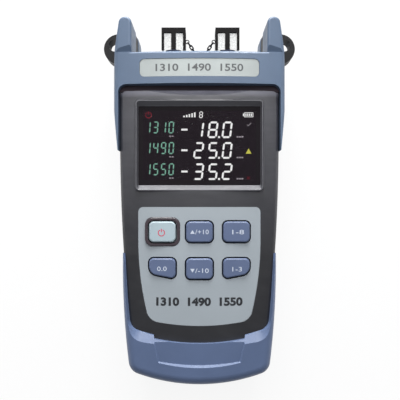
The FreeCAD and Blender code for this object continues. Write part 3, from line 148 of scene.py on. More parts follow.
class NodeSheet:
    """A material's node tree with short calls to add and wire nodes."""

    def __init__(self, name: str) -> None:
        """Start a material that holds one Principled shader.

        Args:
            name: the material's name.
        """
        self.material = bpy.data.materials.new(name)
        self.material.use_nodes = True
        self.tree = self.material.node_tree
        self.shader = self.tree.nodes["Principled BSDF"]
        self.output = self.tree.nodes["Material Output"]
        self.column = 0

    def add(self, kind: str, **settings: object) -> bpy.types.Node:
        """Add a node of a kind, with its properties set.

        Args:
            kind: the node's type name.
            settings: property names and their values.

        Returns:
            The new node.
        """
        node = self.tree.nodes.new(kind)
        self.column += 1
        node.location = (-220 * self.column, 0)
        for key, value in settings.items():
            setattr(node, key, value)
        return node

    def wire(self, source: Socket, target: Socket) -> None:
        """Link one socket to another."""
        self.tree.links.new(source, target)

    def feed(self, name: str, source: Socket) -> None:
        """Link a socket to an input of the shader."""
        self.wire(source, self.shader.inputs[name])

    def place(self, stretch: Sequence[float] = (1.0, 1.0, 1.0)) -> Socket:
        """Object coordinates, stretched along the axes.

        Args:
            stretch: scale along each axis.

        Returns:
            The coordinates.
        """
        where = self.add("ShaderNodeTexCoord")
        turn = self.add("ShaderNodeMapping")
        turn.inputs["Scale"].default_value = stretch
        self.wire(where.outputs["Object"], turn.inputs["Vector"])
        return turn.outputs["Vector"]

    def noise(self, size: float, detail: float = 2.0, stretch: Sequence[float] = (1.0, 1.0, 1.0),
              roughness: float = 0.5) -> Socket:
        """Noise whose features are about a size across.

        Args:
            size: feature size in metres.
            detail: octaves of finer noise.
            stretch: scale along each axis.
            roughness: weight of the finer octaves.

        Returns:
            The noise's factor.
        """
        node = self.add("ShaderNodeTexNoise")
        node.inputs["Scale"].default_value = 1 / size
        node.inputs["Detail"].default_value = detail
        node.inputs["Roughness"].default_value = roughness
        self.wire(self.place(stretch), node.inputs["Vector"])
        return node.outputs["Fac"]

    def span(self, factor: Socket, low: float, high: float, start: float = 0.3,
             end: float = 0.7) -> Socket:
        """Map a factor from a start and end to a low and high value.

        Args:
            factor: what is mapped.
            low: the value up to the start.
            high: the value from the end.
            start: the factor where the change begins.
            end: the factor where it ends.

        Returns:
            The mapped value.
        """
        node = self.add("ShaderNodeMapRange")
        node.inputs["From Min"].default_value = start
        node.inputs["From Max"].default_value = end
        node.inputs["To Min"].default_value = low
        node.inputs["To Max"].default_value = high
        self.wire(factor, node.inputs["Value"])
        return node.outputs["Result"]

    def tint(self, factor: Socket, low: Colour, high: Colour, start: float = 0.3,
             end: float = 0.7) -> Socket:
        """A ramp between two colours over part of a factor.

        Args:
            factor: what the ramp reads.
            low: the colour up to the start.
            high: the colour from the end.
            start: the factor where the change begins.
            end: the factor where it ends.

        Returns:
            The ramp's colour.
        """
        ramp = self.add("ShaderNodeValToRGB")
        ramp.color_ramp.elements[0].position = start
        ramp.color_ramp.elements[0].color = (*low, 1)
        ramp.color_ramp.elements[1].position = end
        ramp.color_ramp.elements[1].color = (*high, 1)
        self.wire(factor, ramp.inputs["Fac"])
        return ramp.outputs["Color"]

    def bump(self, height: Socket, strength: float, depth: float) -> Socket:
        """A bump of a height over a depth in metres.

        Args:
            height: the pattern that is read as height.
            strength: how strongly the bump shows.
            depth: the rise from a height of 0 to 1.

        Returns:
            The bumped normal.
        """
        node = self.add("ShaderNodeBump")
        node.inputs["Strength"].default_value = strength
        node.inputs["Distance"].default_value = depth
        self.wire(height, node.inputs["Height"])
        return node.outputs["Normal"]

    def join(self, kind: str, first: Socket, second: Socket) -> Socket:
        """Combine two factors with a Math operation.

        Args:
            kind: the operation.
            first: one factor.
            second: the other.

        Returns:
            The result.
        """
        node = self.add("ShaderNodeMath", operation=kind)
        self.wire(first, node.inputs[0])
        self.wire(second, node.inputs[1])
        return node.outputs["Value"]

    def cover(self, share: Socket, under: Socket, over: Colour) -> Socket:
        """Lay a colour over another by a share.

        Args:
            share: how much of the upper colour shows.
            under: the lower colour.
            over: the upper colour.

        Returns:
            The mixed colour.
        """
        mix = self.add("ShaderNodeMix", data_type="RGBA")
        self.wire(share, mix.inputs["Factor"])
        self.wire(under, mix.inputs[MIX_UNDER])
        mix.inputs[MIX_OVER].default_value = (*over, 1)
        return mix.outputs[MIX_RESULT]


@dataclass(frozen=True)
class Finish:
    """What every finish has: a name, a colour and a way to fill a material."""

    name: str
    colour: Colour

    def fill(self, sheet: NodeSheet) -> None:
        """Wire the finish's nodes; each kind of finish does this its own way."""
        raise NotImplementedError

    def material(self) -> bpy.types.Material:
        """Build the material.

        Returns:
            The material, under the finish's name.
        """
        sheet = NodeSheet(self.name)
        self.fill(sheet)
        return sheet.material


@dataclass(frozen=True)
class Moulding(Finish):
    """A moulded plastic or rubber: gloss, grain, rubbed edges with painted highlights, handling
    marks in the gloss and painted light along Y.
    """

    gloss: float
    grain: Grain
    variation: float = 0.06
    edge_wear_and_highlight: float = 1.25
    edge_width: float = 0.5 * MM
    coat: float = 0.0
    sheen: float = 0.0
    shine: float = 0.5
    painted_lights: tuple[tuple[float, float, float], ...] = ()

    CLOUD_SIZE = 22 * MM
    PATCH_SIZE = 3.0 * MM
    SMEAR_SIZE = 9 * MM
    LIGHT_MOTTLE_SIZE = 5 * MM
    GRAIN_DEPTH = 0.05 * MM
    SHARP_TURN = 0.90
    FLAT_TURN = 0.998

    def fill(self, sheet: NodeSheet) -> None:
        """Grain, slow colour change, painted light along Y, rubbed edges with painted highlights
        and uneven gloss.

        Args:
            sheet: the material's sheet.
        """
        size, strength = self.grain.value
        body = sheet.tint(sheet.noise(self.CLOUD_SIZE, 3),
                          scaled(self.colour, 1 - self.variation),
                          scaled(self.colour, 1 + self.variation))
        # Painted light: bands along Y where the colour is lightened.
        for start, end, lift in self.painted_lights:
            body = self.paint_light(sheet, body, start, end, lift)
        # Edges lighten: rubbed wear, and painted highlights where edges catch the light; the
        # lift sets how much.
        edge = sheet.add("ShaderNodeBevel", samples=4)
        edge.inputs["Radius"].default_value = self.edge_width
        flat = sheet.add("ShaderNodeNewGeometry")
        turn = sheet.add("ShaderNodeVectorMath", operation="DOT_PRODUCT")
        sheet.wire(edge.outputs["Normal"], turn.inputs[0])
        sheet.wire(flat.outputs["Normal"], turn.inputs[1])
        edge_share = sheet.span(turn.outputs["Value"], 1.0, 0.0, self.SHARP_TURN, self.FLAT_TURN)
        patch = sheet.span(sheet.noise(self.PATCH_SIZE, 4), 0.25, 1.0, 0.35, 0.65)
        wear_and_highlight = sheet.join("MULTIPLY", edge_share, patch)
        sheet.feed("Base Color", sheet.cover(wear_and_highlight, body, scaled(self.colour, self.edge_wear_and_highlight)))
        smear = sheet.noise(self.SMEAR_SIZE, 5, (1.0, 2.2, 1.0), 0.62)
        sheet.feed("Roughness", sheet.span(smear, self.gloss - 0.05, self.gloss + 0.07))
        sheet.feed("Normal", sheet.bump(sheet.noise(size * MM, 2), strength, self.GRAIN_DEPTH))
        sheet.shader.inputs["Coat Weight"].default_value = self.coat
        sheet.shader.inputs["Sheen Weight"].default_value = self.sheen
        sheet.shader.inputs["Specular IOR Level"].default_value = self.shine

    def paint_light(self, sheet: NodeSheet, body: Socket, start: float, end: float,
              lift: float) -> Socket:
        """Paint light along Y: lighten the colour from a start to an end, with a mottle, as
        painted light.

        Args:
            sheet: the material's sheet.
            body: the unworn colour.
            start: where the lighter part begins.
            end: where it is fully lighter.
            lift: how much lighter it is there.

        Returns:
            The colour, lifted from the start to the end.
        """
        apart = sheet.add("ShaderNodeSeparateXYZ")
        sheet.wire(sheet.place(), apart.inputs["Vector"])
        rise = sheet.span(apart.outputs["Y"], 0.0, 1.0, start, end)
        light_mottle = sheet.span(sheet.noise(self.LIGHT_MOTTLE_SIZE, 4, (0.5, 2.0, 1.0), 0.6), 0.7, 1.1)
        return sheet.cover(sheet.join("MULTIPLY", rise, light_mottle), body, scaled(self.colour, lift))


@dataclass(frozen=True)
class Metal(Finish):
    """A plated, turned or pressed metal with fine lines, stains and wear."""

    gloss: float
    lines: Sequence[float] = (1.0, 1.0, 1.0)
    line_size: float = 0.25 * MM
    strength: float = 0.08
    metallic: float = 1.0
    stain: float = 0.86
    stain_size: float = 4 * MM

    LINE_DEPTH = 0.03 * MM

    def fill(self, sheet: NodeSheet) -> None:
        """Drawn lines, stains and uneven gloss.

        Args:
            sheet: the material's sheet.
        """
        sheet.shader.inputs["Metallic"].default_value = self.metallic
        stain = sheet.noise(self.stain_size, 4)
        sheet.feed("Base Color", sheet.tint(stain, scaled(self.colour, self.stain), self.colour,
                                            0.3, 0.62))
        line = sheet.noise(self.line_size, 3, self.lines)
        sheet.feed("Roughness", sheet.span(line, self.gloss - 0.06, self.gloss + 0.10))
        sheet.feed("Normal", sheet.bump(line, self.strength, self.LINE_DEPTH))


@dataclass(frozen=True)
class Ink(Finish):
    """A printed or moulded-in sign: flat ink with slight pinholes."""

    gloss: float = 0.5

    PINHOLE_SIZE = 0.12 * MM
    PINHOLE_DEPTH = 0.02 * MM

    def fill(self, sheet: NodeSheet) -> None:
        """Fine speckle in colour and height.

        Args:
            sheet: the material's sheet.
        """
        speck = sheet.noise(self.PINHOLE_SIZE, 2)
        sheet.feed("Base Color", sheet.tint(speck, scaled(self.colour, 0.82), self.colour,
                                            0.28, 0.5))
        sheet.shader.inputs["Roughness"].default_value = self.gloss
        sheet.feed("Normal", sheet.bump(speck, 0.12, self.PINHOLE_DEPTH))


@dataclass(frozen=True)
class Glow(Finish):
    """A lit display segment: its own light with a slight unevenness from the diffuser."""

    power: float = 1.0

    HAZE_SIZE = 2.4 * MM

    def fill(self, sheet: NodeSheet) -> None:
        """Light of the finish's colour, on a nearly black ground.

        Args:
            sheet: the material's sheet.
        """
        haze = sheet.noise(self.HAZE_SIZE, 3)
        sheet.feed("Emission Color", sheet.tint(haze, scaled(self.colour, 0.86), self.colour,
                                                0.3, 0.6))
        sheet.shader.inputs["Base Color"].default_value = (*scaled(self.colour, 0.02), 1)
        sheet.shader.inputs["Emission Strength"].default_value = self.power
        sheet.shader.inputs["Roughness"].default_value = 0.6
        sheet.shader.inputs["Specular IOR Level"].default_value = 0.0


@dataclass(frozen=True)
class Window(Finish):
    """A clear window with an anti-glare coat, a faint tint and wide wipe marks."""

    gloss: float = 0.22
    bend: float = 1.04

    WIPE_SIZE = 7 * MM

    def fill(self, sheet: NodeSheet) -> None:
        """Clear, with uneven gloss where it was wiped.

        Args:
            sheet: the material's sheet.
        """
        wipe = sheet.noise(self.WIPE_SIZE, 2, (0.4, 1.6, 1.0), 0.5)
        sheet.feed("Base Color", sheet.tint(wipe, scaled(self.colour, 0.94), self.colour))
        sheet.feed("Roughness", sheet.span(wipe, self.gloss * 0.9, self.gloss * 1.3))
        sheet.shader.inputs["Transmission Weight"].default_value = 1.0
        sheet.shader.inputs["IOR"].default_value = self.bend


class Finishes:
    """Every finish on the meter, built once."""

    def __init__(self) -> None:
        """Build the materials."""
        # Painted light on the grey case: the first band lightens it from the lower face towards
        # the top, where the lamps light it more; the second paints a bright highlight along the
        # brow under the head guard. Its edge lift of 4.5 paints highlights on its edges.
        self.grey = Moulding("case_grey", linear(29, 29, 33), 0.38, Grain.SPARKED,
                             edge_wear_and_highlight=4.5, shine=0.9,
                             painted_lights=((-0.03, 0.050, 4.1), (0.0535, 0.0562, 19.0))).material()
        self.frame = Moulding("frame_grey", linear(82, 82, 87), 0.36, Grain.SATIN,
                              edge_wear_and_highlight=1.6, shine=0.9).material()
        self.black = Moulding("case_black", linear(17, 17, 19), 0.5, Grain.SPARKED,
                              edge_wear_and_highlight=2.2, shine=0.25).material()
        self.guard = Moulding("guard_blue", linear(85, 102, 125), 0.42, Grain.SATIN,
                              edge_wear_and_highlight=1.18).material()
        self.boot = Moulding("boot_blue", linear(86, 102, 134), 0.44, Grain.SOFT,
                             edge_wear_and_highlight=1.22, sheen=0.05).material()
        self.strip = Metal("strip_silver", linear(160, 166, 165), 0.42, lines=(0.06, 2.0, 1.0),
                           line_size=0.2 * MM, strength=0.05, metallic=0.35, stain=0.94,
                           stain_size=9 * MM).material()
        self.panel = Moulding("panel_grey", linear(154, 162, 168), 0.42, Grain.POLISHED,
                              variation=0.03, edge_wear_and_highlight=1.05).material()
        self.ring = Moulding("ring_dark", linear(62, 54, 60), 0.25, Grain.POLISHED,
                             edge_wear_and_highlight=1.8, coat=0.4).material()
        self.pale_key = Moulding("key_pale", linear(164, 180, 187), 0.42, Grain.SOFT,
                                 variation=0.04, edge_wear_and_highlight=1.1).material()
        self.blue_key = Moulding("key_blue", linear(91, 104, 134), 0.38, Grain.SOFT,
                                 edge_wear_and_highlight=1.2).material()
        self.mat = Moulding("mat_rubber", linear(30, 30, 32), 0.7, Grain.SOFT).material()
        self.board = Moulding("board_green", linear(30, 84, 46), 0.3, Grain.POLISHED).material()
        self.plated = Metal("plated_brass", linear(194, 194, 192), 0.34, line_size=0.4 * MM,
                            strength=0.10, metallic=0.3, stain=0.62,
                            stain_size=0.7 * MM).material()
        self.nut = Metal("nut_gunmetal", linear(58, 62, 78), 0.36, (1.0, 8.0, 1.0)).material()
        self.turned = Metal("turned_aluminium", linear(178, 179, 182), 0.34,
                            (1.0, 6.0, 1.0)).material()
        self.ceramic = Moulding("sleeve_ceramic", linear(238, 235, 226), 0.16, Grain.POLISHED,
                                variation=0.02, edge_wear_and_highlight=1.02, coat=0.5).material()
        self.cap = Moulding("cap_rubber", linear(13, 11, 12), 0.65, Grain.SOFT,
                            edge_wear_and_highlight=1.8, shine=0.15).material()
        # Painted shade: a dark finish for strips put where there is only shade, in the head
        # guard's groove and in the screw heads' cross recesses.
        self.painted_shade = Moulding("painted_shade_dark", linear(58, 46, 54), 0.7, Grain.SOFT,
                             edge_wear_and_highlight=1.2).material()
        self.chain = Metal("chain_steel", linear(46, 46, 50), 0.34).material()
        self.jacket = Moulding("cell_jacket", linear(48, 54, 62), 0.28, Grain.POLISHED,
                               coat=0.4).material()
        self.contact = Metal("contact_nickel", linear(206, 200, 186), 0.3).material()
        self.screw = Metal("screw_zinc", linear(150, 152, 158), 0.35).material()
        self.screen = Moulding("screen_black", linear(25, 21, 25), 0.55, Grain.POLISHED,
                               variation=0.04, edge_wear_and_highlight=1.02, shine=0.1).material()
        self.backlight = Glow("screen_backlight", linear(40, 35, 40)).material()
        self.window = Window("window_clear", (0.97, 0.97, 0.97)).material()
        self.white_glow = Glow("segment_white", linear(250, 250, 250), 0.95).material()
        self.green_glow = Glow("segment_green", linear(150, 210, 188), 0.66).material()
        self.red_glow = Glow("segment_red", linear(172, 52, 68), 0.9).material()
        self.yellow_glow = Glow("segment_yellow", linear(214, 210, 92), 0.85).material()
        self.dim_glow = Glow("segment_dim", linear(168, 160, 168), 0.9).material()
        self.faint_red_glow = Glow("segment_faint_red", linear(112, 40, 50), 0.8).material()
        self.white_ink = Ink("ink_white", linear(196, 204, 218)).material()
        self.red_ink = Ink("ink_red", linear(200, 58, 88)).material()
        self.grey_ink = Ink("ink_grey", linear(80, 82, 84)).material()
        self.black_ink = Ink("ink_black", linear(38, 40, 44)).material()


def dress(material: bpy.types.Material, *nodes: str) -> None:
    """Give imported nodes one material.

    Args:
        material: what all of their faces get.
        nodes: the nodes' names.
    """
    for node in nodes:
        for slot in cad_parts[node].material_slots:
            slot.material = material
        log.info("dressed %s with %s", node, material.name)


def settle(shape: Shape, name: str, material: bpy.types.Material, body: Body | None,
           smooth_below: float = 32.0) -> bpy.types.Object:
    """Turn a finished bmesh into a piece that rides on a body.

    Args:
        shape: the bmesh, in the part's own frame; it is freed.
        name: the piece's name.
        material: its finish.
        body: what it rides on, or None to leave it on no body.
        smooth_below: edges flatter than this many degrees are shaded smooth.

    Returns:
        The new object.
    """
    limit = math.radians(smooth_below)
    for edge in shape.edges:
        edge.smooth = len(edge.link_faces) == 2 and edge.calc_face_angle(0.0) < limit
    for face in shape.faces:
        face.smooth = True
    mesh = bpy.data.meshes.new(name)
    shape.to_mesh(mesh)
    shape.free()
    mesh.materials.append(material)
    piece = bpy.data.objects.new(name, mesh)
    bpy.context.scene.collection.objects.link(piece)
    if body is not None:
        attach(piece, body.value)
    log.info("%s: %d faces", name, len(mesh.polygons))
    return piece


def crown_fall(x: float) -> float:
    """How far the crowned face has fallen at a distance from the centre line."""
    return CROWN_RADIUS - math.sqrt(CROWN_RADIUS ** 2 - x ** 2)


def millimetres(points: Iterable[Point]) -> list[Point]:
    """Points given in millimetres, in metres."""
    return [(x * MM, y * MM) for x, y in points]


def rectangle(width: float, height: float) -> list[Point]:
    """The corners of a rectangle centred on the origin, sizes in millimetres."""
    return millimetres(((-width / 2, -height / 2), (width / 2, -height / 2),
                        (width / 2, height / 2), (-width / 2, height / 2)))


def neighbours(items: list) -> Iterable[tuple]:
    """Each item of a closed loop with the one after it."""
    return zip(items, items[1:] + items[:1])


def band_faces(shape: Shape, inner: list[bmesh.types.BMVert],
               outer: list[bmesh.types.BMVert]) -> list[bmesh.types.BMFace]:
    """Join two loops of as many vertices by a band of faces.

    Args:
        shape: the bmesh to add to.
        inner: the inner loop.
        outer: the outer loop.

    Returns:
        The new faces.
    """
    return [shape.faces.new((first[0], first[1], second[1], second[0]))
            for first, second in neighbours(list(zip(inner, outer)))]


def pull(shape: Shape, faces: list[bmesh.types.BMFace], offset: Sequence[float]) -> None:
    """Extrude faces into a solid.

    Args:
        shape: the bmesh that holds the faces.
        faces: what is extruded.
        offset: how far and which way.
    """
    raised = bmesh.ops.extrude_face_region(shape, geom=faces)
    far = [item for item in raised["geom"] if isinstance(item, bmesh.types.BMVert)]
    bmesh.ops.translate(shape, vec=offset, verts=far)
    bmesh.ops.recalc_face_normals(shape, faces=shape.faces)


def prism(shape: Shape, corners: Iterable[Vector], depth: float = PRINT_DEPTH) -> None:
    """Add an upright prism on a flat outline.

    Args:
        shape: the bmesh to add to.
        corners: the outline's corners, anticlockwise seen from above.
        depth: how far the prism rises above them.
    """
    face = shape.faces.new([shape.verts.new(corner) for corner in corners])
    pull(shape, [face], (0, 0, depth))


def polygon_sign(shape: Shape, centre: Vector, points: Iterable[Point],
                 depth: float = PRINT_DEPTH) -> None:
    """Add a flat sign with straight sides.

    Args:
        shape: the bmesh to add to.
        centre: where the points are measured from.
        points: corners, anticlockwise, in metres.
        depth: thickness.
    """
    prism(shape, [centre + Vector((x, y, 0)) for x, y in points], depth)


def power_sign(shape: Shape, centre: Vector, radius: float, stroke: float) -> None:
    """Add an on-off sign: an open ring, spun from its section, with a bar in its gap.

    Args:
        shape: the bmesh to add to.
        centre: the ring's centre at its base.
        radius: the ring's radius, to the middle of the stroke.
        stroke: stroke width.
    """
    arc_start, arc_turn, steps = math.radians(116), math.radians(308), 28
    bar_low, bar_high = radius * 0.2, radius * 1.3
    half = stroke / 2
    start = Matrix.Rotation(arc_start, 3, "Z")
    section = [shape.verts.new(centre + start @ Vector((x, 0, z))) for x, z in
               ((radius - half, 0), (radius + half, 0), (radius + half, PRINT_DEPTH),
                (radius - half, PRINT_DEPTH))]
    face = shape.faces.new(section)
    bmesh.ops.spin(shape, geom=[face, *face.edges, *section], cent=centre, axis=(0, 0, 1),
                   angle=arc_turn, steps=steps)
    bmesh.ops.recalc_face_normals(shape, faces=shape.faces)
    polygon_sign(shape, centre, ((-half, bar_low), (half, bar_low), (half, bar_high),
                                 (-half, bar_high)))


def text_shape(text: str, height: float, width: float, weight: float,
               spacing: float = 1.0) -> Shape:
    """Numerals as a thin solid mesh, centred on the origin.

    Args:
        text: what to write.
        height: height of the figures.
        width: overall width to stretch to.
        weight: how far the strokes are thickened, as a share of the height.
        spacing: room between figures, 1 for the normal.

    Returns:
        A bmesh whose figures stand on the XY plane.
    """
    merge_reach = 0.0005
    curve = bpy.data.curves.new("figures", "FONT")
    curve.body = text
    curve.align_x = "CENTER"
    curve.align_y = "CENTER"
    curve.space_character = spacing
    curve.offset = weight
    curve.extrude = 0.5
    curve.resolution_u = 4
    holder = bpy.data.objects.new("figures", curve)
    bpy.context.scene.collection.objects.link(holder)
    bpy.context.view_layer.update()
    mesh = bpy.data.meshes.new_from_object(holder)
    bpy.data.objects.remove(holder)
    shape = bmesh.new()
    shape.from_mesh(mesh)
    bpy.data.meshes.remove(mesh)
    bmesh.ops.remove_doubles(shape, verts=shape.verts, dist=merge_reach)
    xs = [vert.co.x for vert in shape.verts]
    ys = [vert.co.y for vert in shape.verts]
    left, right, low, high = min(xs), max(xs), min(ys), max(ys)
    middle = Vector(((right + left) / 2, (high + low) / 2, 0))
    bmesh.ops.translate(shape, vec=-middle, verts=shape.verts)
    bmesh.ops.scale(shape, vec=(width / (right - left), height / (high - low), PRINT_DEPTH),
                    verts=shape.verts)
    bmesh.ops.translate(shape, vec=(0, 0, PRINT_DEPTH / 2), verts=shape.verts)
    return shape


def crowned_figures(height: float, width: float, weight: float, y: float,
                    top: float) -> Shape:
    """The row of wavelengths, laid on a crowned face.

    Args:
        height: height of the figures.
        width: the row's width.
        weight: how far the strokes are thickened, as a share of the height.
        y: the row's middle.
        top: height of the crowned face on the centre line.

    Returns:
        A bmesh whose figures stand on the face.
    """
    shape = text_shape(FIGURES, height, width, weight)
    bmesh.ops.translate(shape, vec=(0, y, 0), verts=shape.verts)
    for vert in shape.verts:
        vert.co.z += top - crown_fall(vert.co.x)
    return shape


def stamp(shape: Shape, other: Shape, offset: Vector) -> None:
    """Add another bmesh, moved by an offset.

    Args:
        shape: the bmesh to add to.
        other: what is added; it is freed.
        offset: how far it is moved.
    """
    bmesh.ops.translate(other, vec=offset, verts=other.verts)
    mesh = bpy.data.meshes.new("stamp")
    other.to_mesh(mesh)
    other.free()
    shape.from_mesh(mesh)
    bpy.data.meshes.remove(mesh)


@dataclass(frozen=True)
class SevenSegments:
    """Figures of seven bars each, leaning a little."""

    width: float
    height: float
    stroke: float
    pitch: float
    lean: float
    gap: float

    BARS = {
        "0": "abcdef", "1": "bc", "2": "abged", "3": "abgcd", "4": "fgbc", "5": "afgcd",
        "6": "afgedc", "7": "abc", "8": "abcdefg", "9": "abcdfg",
    }

    def bar_corners(self, letter: str) -> list[Point]:
        """The corners of one bar inside a figure's box.

        Args:
            letter: a to g, clockwise from the top, g in the middle.

        Returns:
            Corner points, anticlockwise, from the figure's lower left corner.
        """
        wide, tall, thick = self.width, self.height, self.stroke
        half, mid = thick / 2, tall / 2
        if letter in "agd":
            y = {"a": tall - half, "g": mid, "d": half}[letter]
            left, right = half + self.gap, wide - half - self.gap
            return [(left, y), (left + half, y - half), (right - half, y - half),
                    (right, y), (right - half, y + half), (left + half, y + half)]
        x = wide - half if letter in "bc" else half
        low, high = (mid, tall - half) if letter in "bf" else (half, mid)
        low, high = low + self.gap, high - self.gap
        return [(x, low), (x + half, low + half), (x + half, high - half),
                (x, high), (x - half, high - half), (x - half, low + half)]

    def write(self, shape: Shape, text: str, x: float, y: float, z: float) -> None:
        """Add a row of figures.

        Args:
            shape: the bmesh to add to.
            text: digits and points; a point takes no room.
            x: left edge of the first figure.
            y: lower edge.
            z: level the bars stand on.
        """
        slant = math.tan(math.radians(self.lean))
        half = self.stroke / 2
        for sign in text:
            if sign == ".":
                centre = Vector((x - (self.pitch - self.width) / 2, y, z))
                polygon_sign(shape, centre, ((-half, 0), (half, 0), (half, self.stroke),
                                             (-half, self.stroke)))
                continue
            for letter in self.BARS[sign]:
                prism(shape, [Vector((x + px + py * slant, y + py, z))
                              for px, py in self.bar_corners(letter)])
            x += self.pitch


@dataclass(frozen=True)
class Outline:
    """A rounded rectangle round the display's window, at one level of its frame."""

    side: float
    end: float
    radius: float
    level: float
    crowned: bool = False

    CORNER_STEPS = 6
    SIDE_STEPS = 24

    def loop(self, shape: Shape, low: Vector, high: Vector) -> list[bmesh.types.BMEdge]:
        """Add the outline as a closed loop of edges.

        Args:
            shape: the bmesh to add to.
            low: the window's lower left corner.
            high: its upper right corner.

        Returns:
            The loop's edges.
        """
        half, bottom, top = high.x + self.side, low.y - self.end, high.y + self.end
        points = []
        for x, y, start in ((half, bottom, -90), (half, top, 0), (-half, top, 90),
                            (-half, bottom, 180)):
            centre_x = x - math.copysign(self.radius, x)
            centre_y = y + (self.radius if y == bottom else -self.radius)
            for step in range(self.CORNER_STEPS + 1):
                turn = math.radians(start + 90 * step / self.CORNER_STEPS)
                points.append(Vector((centre_x + self.radius * math.cos(turn),
                                      centre_y + self.radius * math.sin(turn), 0)))
        spaced = []
        for first, second in neighbours(points):
            straight = (second - first).length > self.radius
            count = self.SIDE_STEPS if straight else 1
            spaced += [first.lerp(second, step / count) for step in range(count)]
        for point in spaced:
            point.z = self.level - (crown_fall(point.x) if self.crowned else 0)
        verts = [shape.verts.new(point) for point in spaced]
        return [shape.edges.new(pair) for pair in neighbours(verts)]


@dataclass(frozen=True)
class UnitBars:
    """Short bars in a row where a unit would stand, sizes in millimetres."""

    middle: float
    drop: float
    width: float
    height: float
    count: int

    BAR_SHARE = 0.76

    def centres(self) -> list[float]:
        """The middles of the bars across the display.

        Returns:
            One place along X for each bar.
        """
        pitch = self.width / self.count
        return [self.middle + (place - (self.count - 1) / 2) * pitch
                for place in range(self.count)]

    def corners(self) -> list[Point]:
        """The corners of one bar, from its middle."""
        return rectangle(self.BAR_SHARE * self.width / self.count, self.height)


@dataclass
class Display:
    """The display module, its window and what is lit on it.

    Places and sizes given without MM are in millimetres.
    """

    finishes: Finishes
    window_node: str = "display_window"
    module_node: str = "display_module"
    small: SevenSegments = SevenSegments(2.75 * MM, 6.2 * MM, 0.6 * MM, 4.05 * MM, 4, 0.14 * MM)
    large: SevenSegments = SevenSegments(5.0 * MM, 8.65 * MM, 1.0 * MM, 7.4 * MM, 7, 0.16 * MM)
    tiny: SevenSegments = SevenSegments(1.9 * MM, 3.4 * MM, 0.42 * MM, 2.6 * MM, 4, 0.06 * MM)
    rows: tuple[float, float, float] = (41.4, 30.65, 19.6)
    levels: tuple[str, str, str] = ("18.0", "25.0", "35.2")
    waves_x: float = -28.4
    levels_x: float = -3.4
    minus_x: float = -7.8
    minus_drop: float = 4.25
    minus_size: Point = (3.25, 0.95)
    power_at: Point = (-26.5, 44.7)
    power_radius: float = 1.5 * MM
    power_stroke: float = 0.23 * MM
    signal_at: Point = (-8.0, 43.6)
    signal_count: int = 5
    signal_pitch: float = 1.4
    signal_width: float = 0.8
    signal_first: float = 0.8
    signal_rise: float = 0.42
    channel_at: Point = (-0.2, 43.2)
    cell_low: Point = (23.4, 43.8)
    cell_high: Point = (27.9, 45.95)
    cell_wall: float = 0.3
    cell_tip: Point = (0.55, 1.2)
    cell_tip_reach: float = 0.45
    charge_x: float = 24.23
    charge_count: int = 4
    charge_pitch: float = 0.95
    charge_size: Point = (0.6, 1.25)
    tick_at: Point = (25.8, 39.7)
    warning_at: Point = (25.6, 26.0)
    warning_half: Point = (1.5, 1.35)
    fault_at: Point = (25.5, 12.0)
    fault_size: Point = (2.1, 0.34)
    units: tuple[UnitBars, ...] = (UnitBars(21.1, 8.0, 3.7, 0.7, 3),
                                   UnitBars(-14.6, 7.65, 2.6, 0.5, 2))
    border_inset: float = 0.5 * MM
    border_depth: float = 0.02 * MM
    face: float = field(init=False)

    TICK = ((-0.35, -0.75), (1.25, 0.85), (1.05, 1.05), (-0.35, -0.38), (-0.95, 0.2),
            (-1.15, 0.02))

    def build(self) -> None:
        """Dress the nodes and light the display."""
        dress(self.finishes.backlight, self.module_node)
        dress(self.finishes.window, self.window_node)
        self.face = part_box(self.module_node)[1].z
        self.light_waves()
        self.light_levels()
        self.light_status()
        self.light_marks()
        self.print_border()
        self.raise_frame()

    def at(self, x: float, y: float) -> Vector:
        """A point on the display's face, given in millimetres."""
        return Vector((x * MM, y * MM, self.face))

    def lit(self, shape: Shape, name: str, glow: bpy.types.Material) -> None:
        """Settle a lit shape on the case."""
        settle(shape, name, glow, Body.CASE)

    def raise_frame(self) -> None:
        """The moulded frame with straight bevels round the window, level at its top."""
        low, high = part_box(self.window_node)
        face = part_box("front_shell")[1].z
        ridge = face + 0.06 * MM
        shape = bmesh.new()
        loops = [outline.loop(shape, low, high) for outline in (
            Outline(0.05 * MM, 0.08 * MM, 0.6 * MM, level=high.z + 0.03 * MM),
            Outline(0.80 * MM, 2.45 * MM, 1.6 * MM, level=ridge),
            Outline(1.10 * MM, 2.75 * MM, 1.9 * MM, level=ridge),
            Outline(2.00 * MM, 3.65 * MM, 2.8 * MM, level=face - 0.15 * MM, crowned=True))]
        for first, second in neighbours(loops):
            bmesh.ops.bridge_loops(shape, edges=first + second)
        bmesh.ops.recalc_face_normals(shape, faces=shape.faces)
        settle(shape, "display_frame", self.finishes.frame, Body.CASE, 25)

    def print_border(self) -> None:
        """The dark border printed on the window, outside the lit area."""
        low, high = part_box(self.window_node)
        lit_low, lit_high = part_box(self.module_node)
        inset = Vector((self.border_inset, self.border_inset, 0))
        shape = bmesh.new()
        outer, inner = [
            [shape.verts.new((x, y, high.z)) for x, y in
             ((near.x, near.y), (far.x, near.y), (far.x, far.y), (near.x, far.y))]
            for near, far in ((low, high), (lit_low + inset, lit_high - inset))]
        pull(shape, band_faces(shape, inner, outer), (0, 0, self.border_depth))
        settle(shape, "window_border", self.finishes.screen, Body.CASE)

    def light_waves(self) -> None:
        """The three green wavelengths at the left."""
        shape = bmesh.new()
        for text, top in zip(WAVELENGTHS, self.rows):
            self.small.write(shape, text, self.waves_x * MM, top * MM - self.small.height,
                             self.face)
        self.lit(shape, "display_waves", self.finishes.green_glow)

    def light_levels(self) -> None:
        """The three white levels with their minus signs."""
        shape = bmesh.new()
        for text, top in zip(self.levels, self.rows):
            self.large.write(shape, text, self.levels_x * MM, top * MM - self.large.height,
                             self.face)
            polygon_sign(shape, self.at(self.minus_x, top - self.minus_drop),
                         rectangle(*self.minus_size))
        self.lit(shape, "display_levels", self.finishes.white_glow)

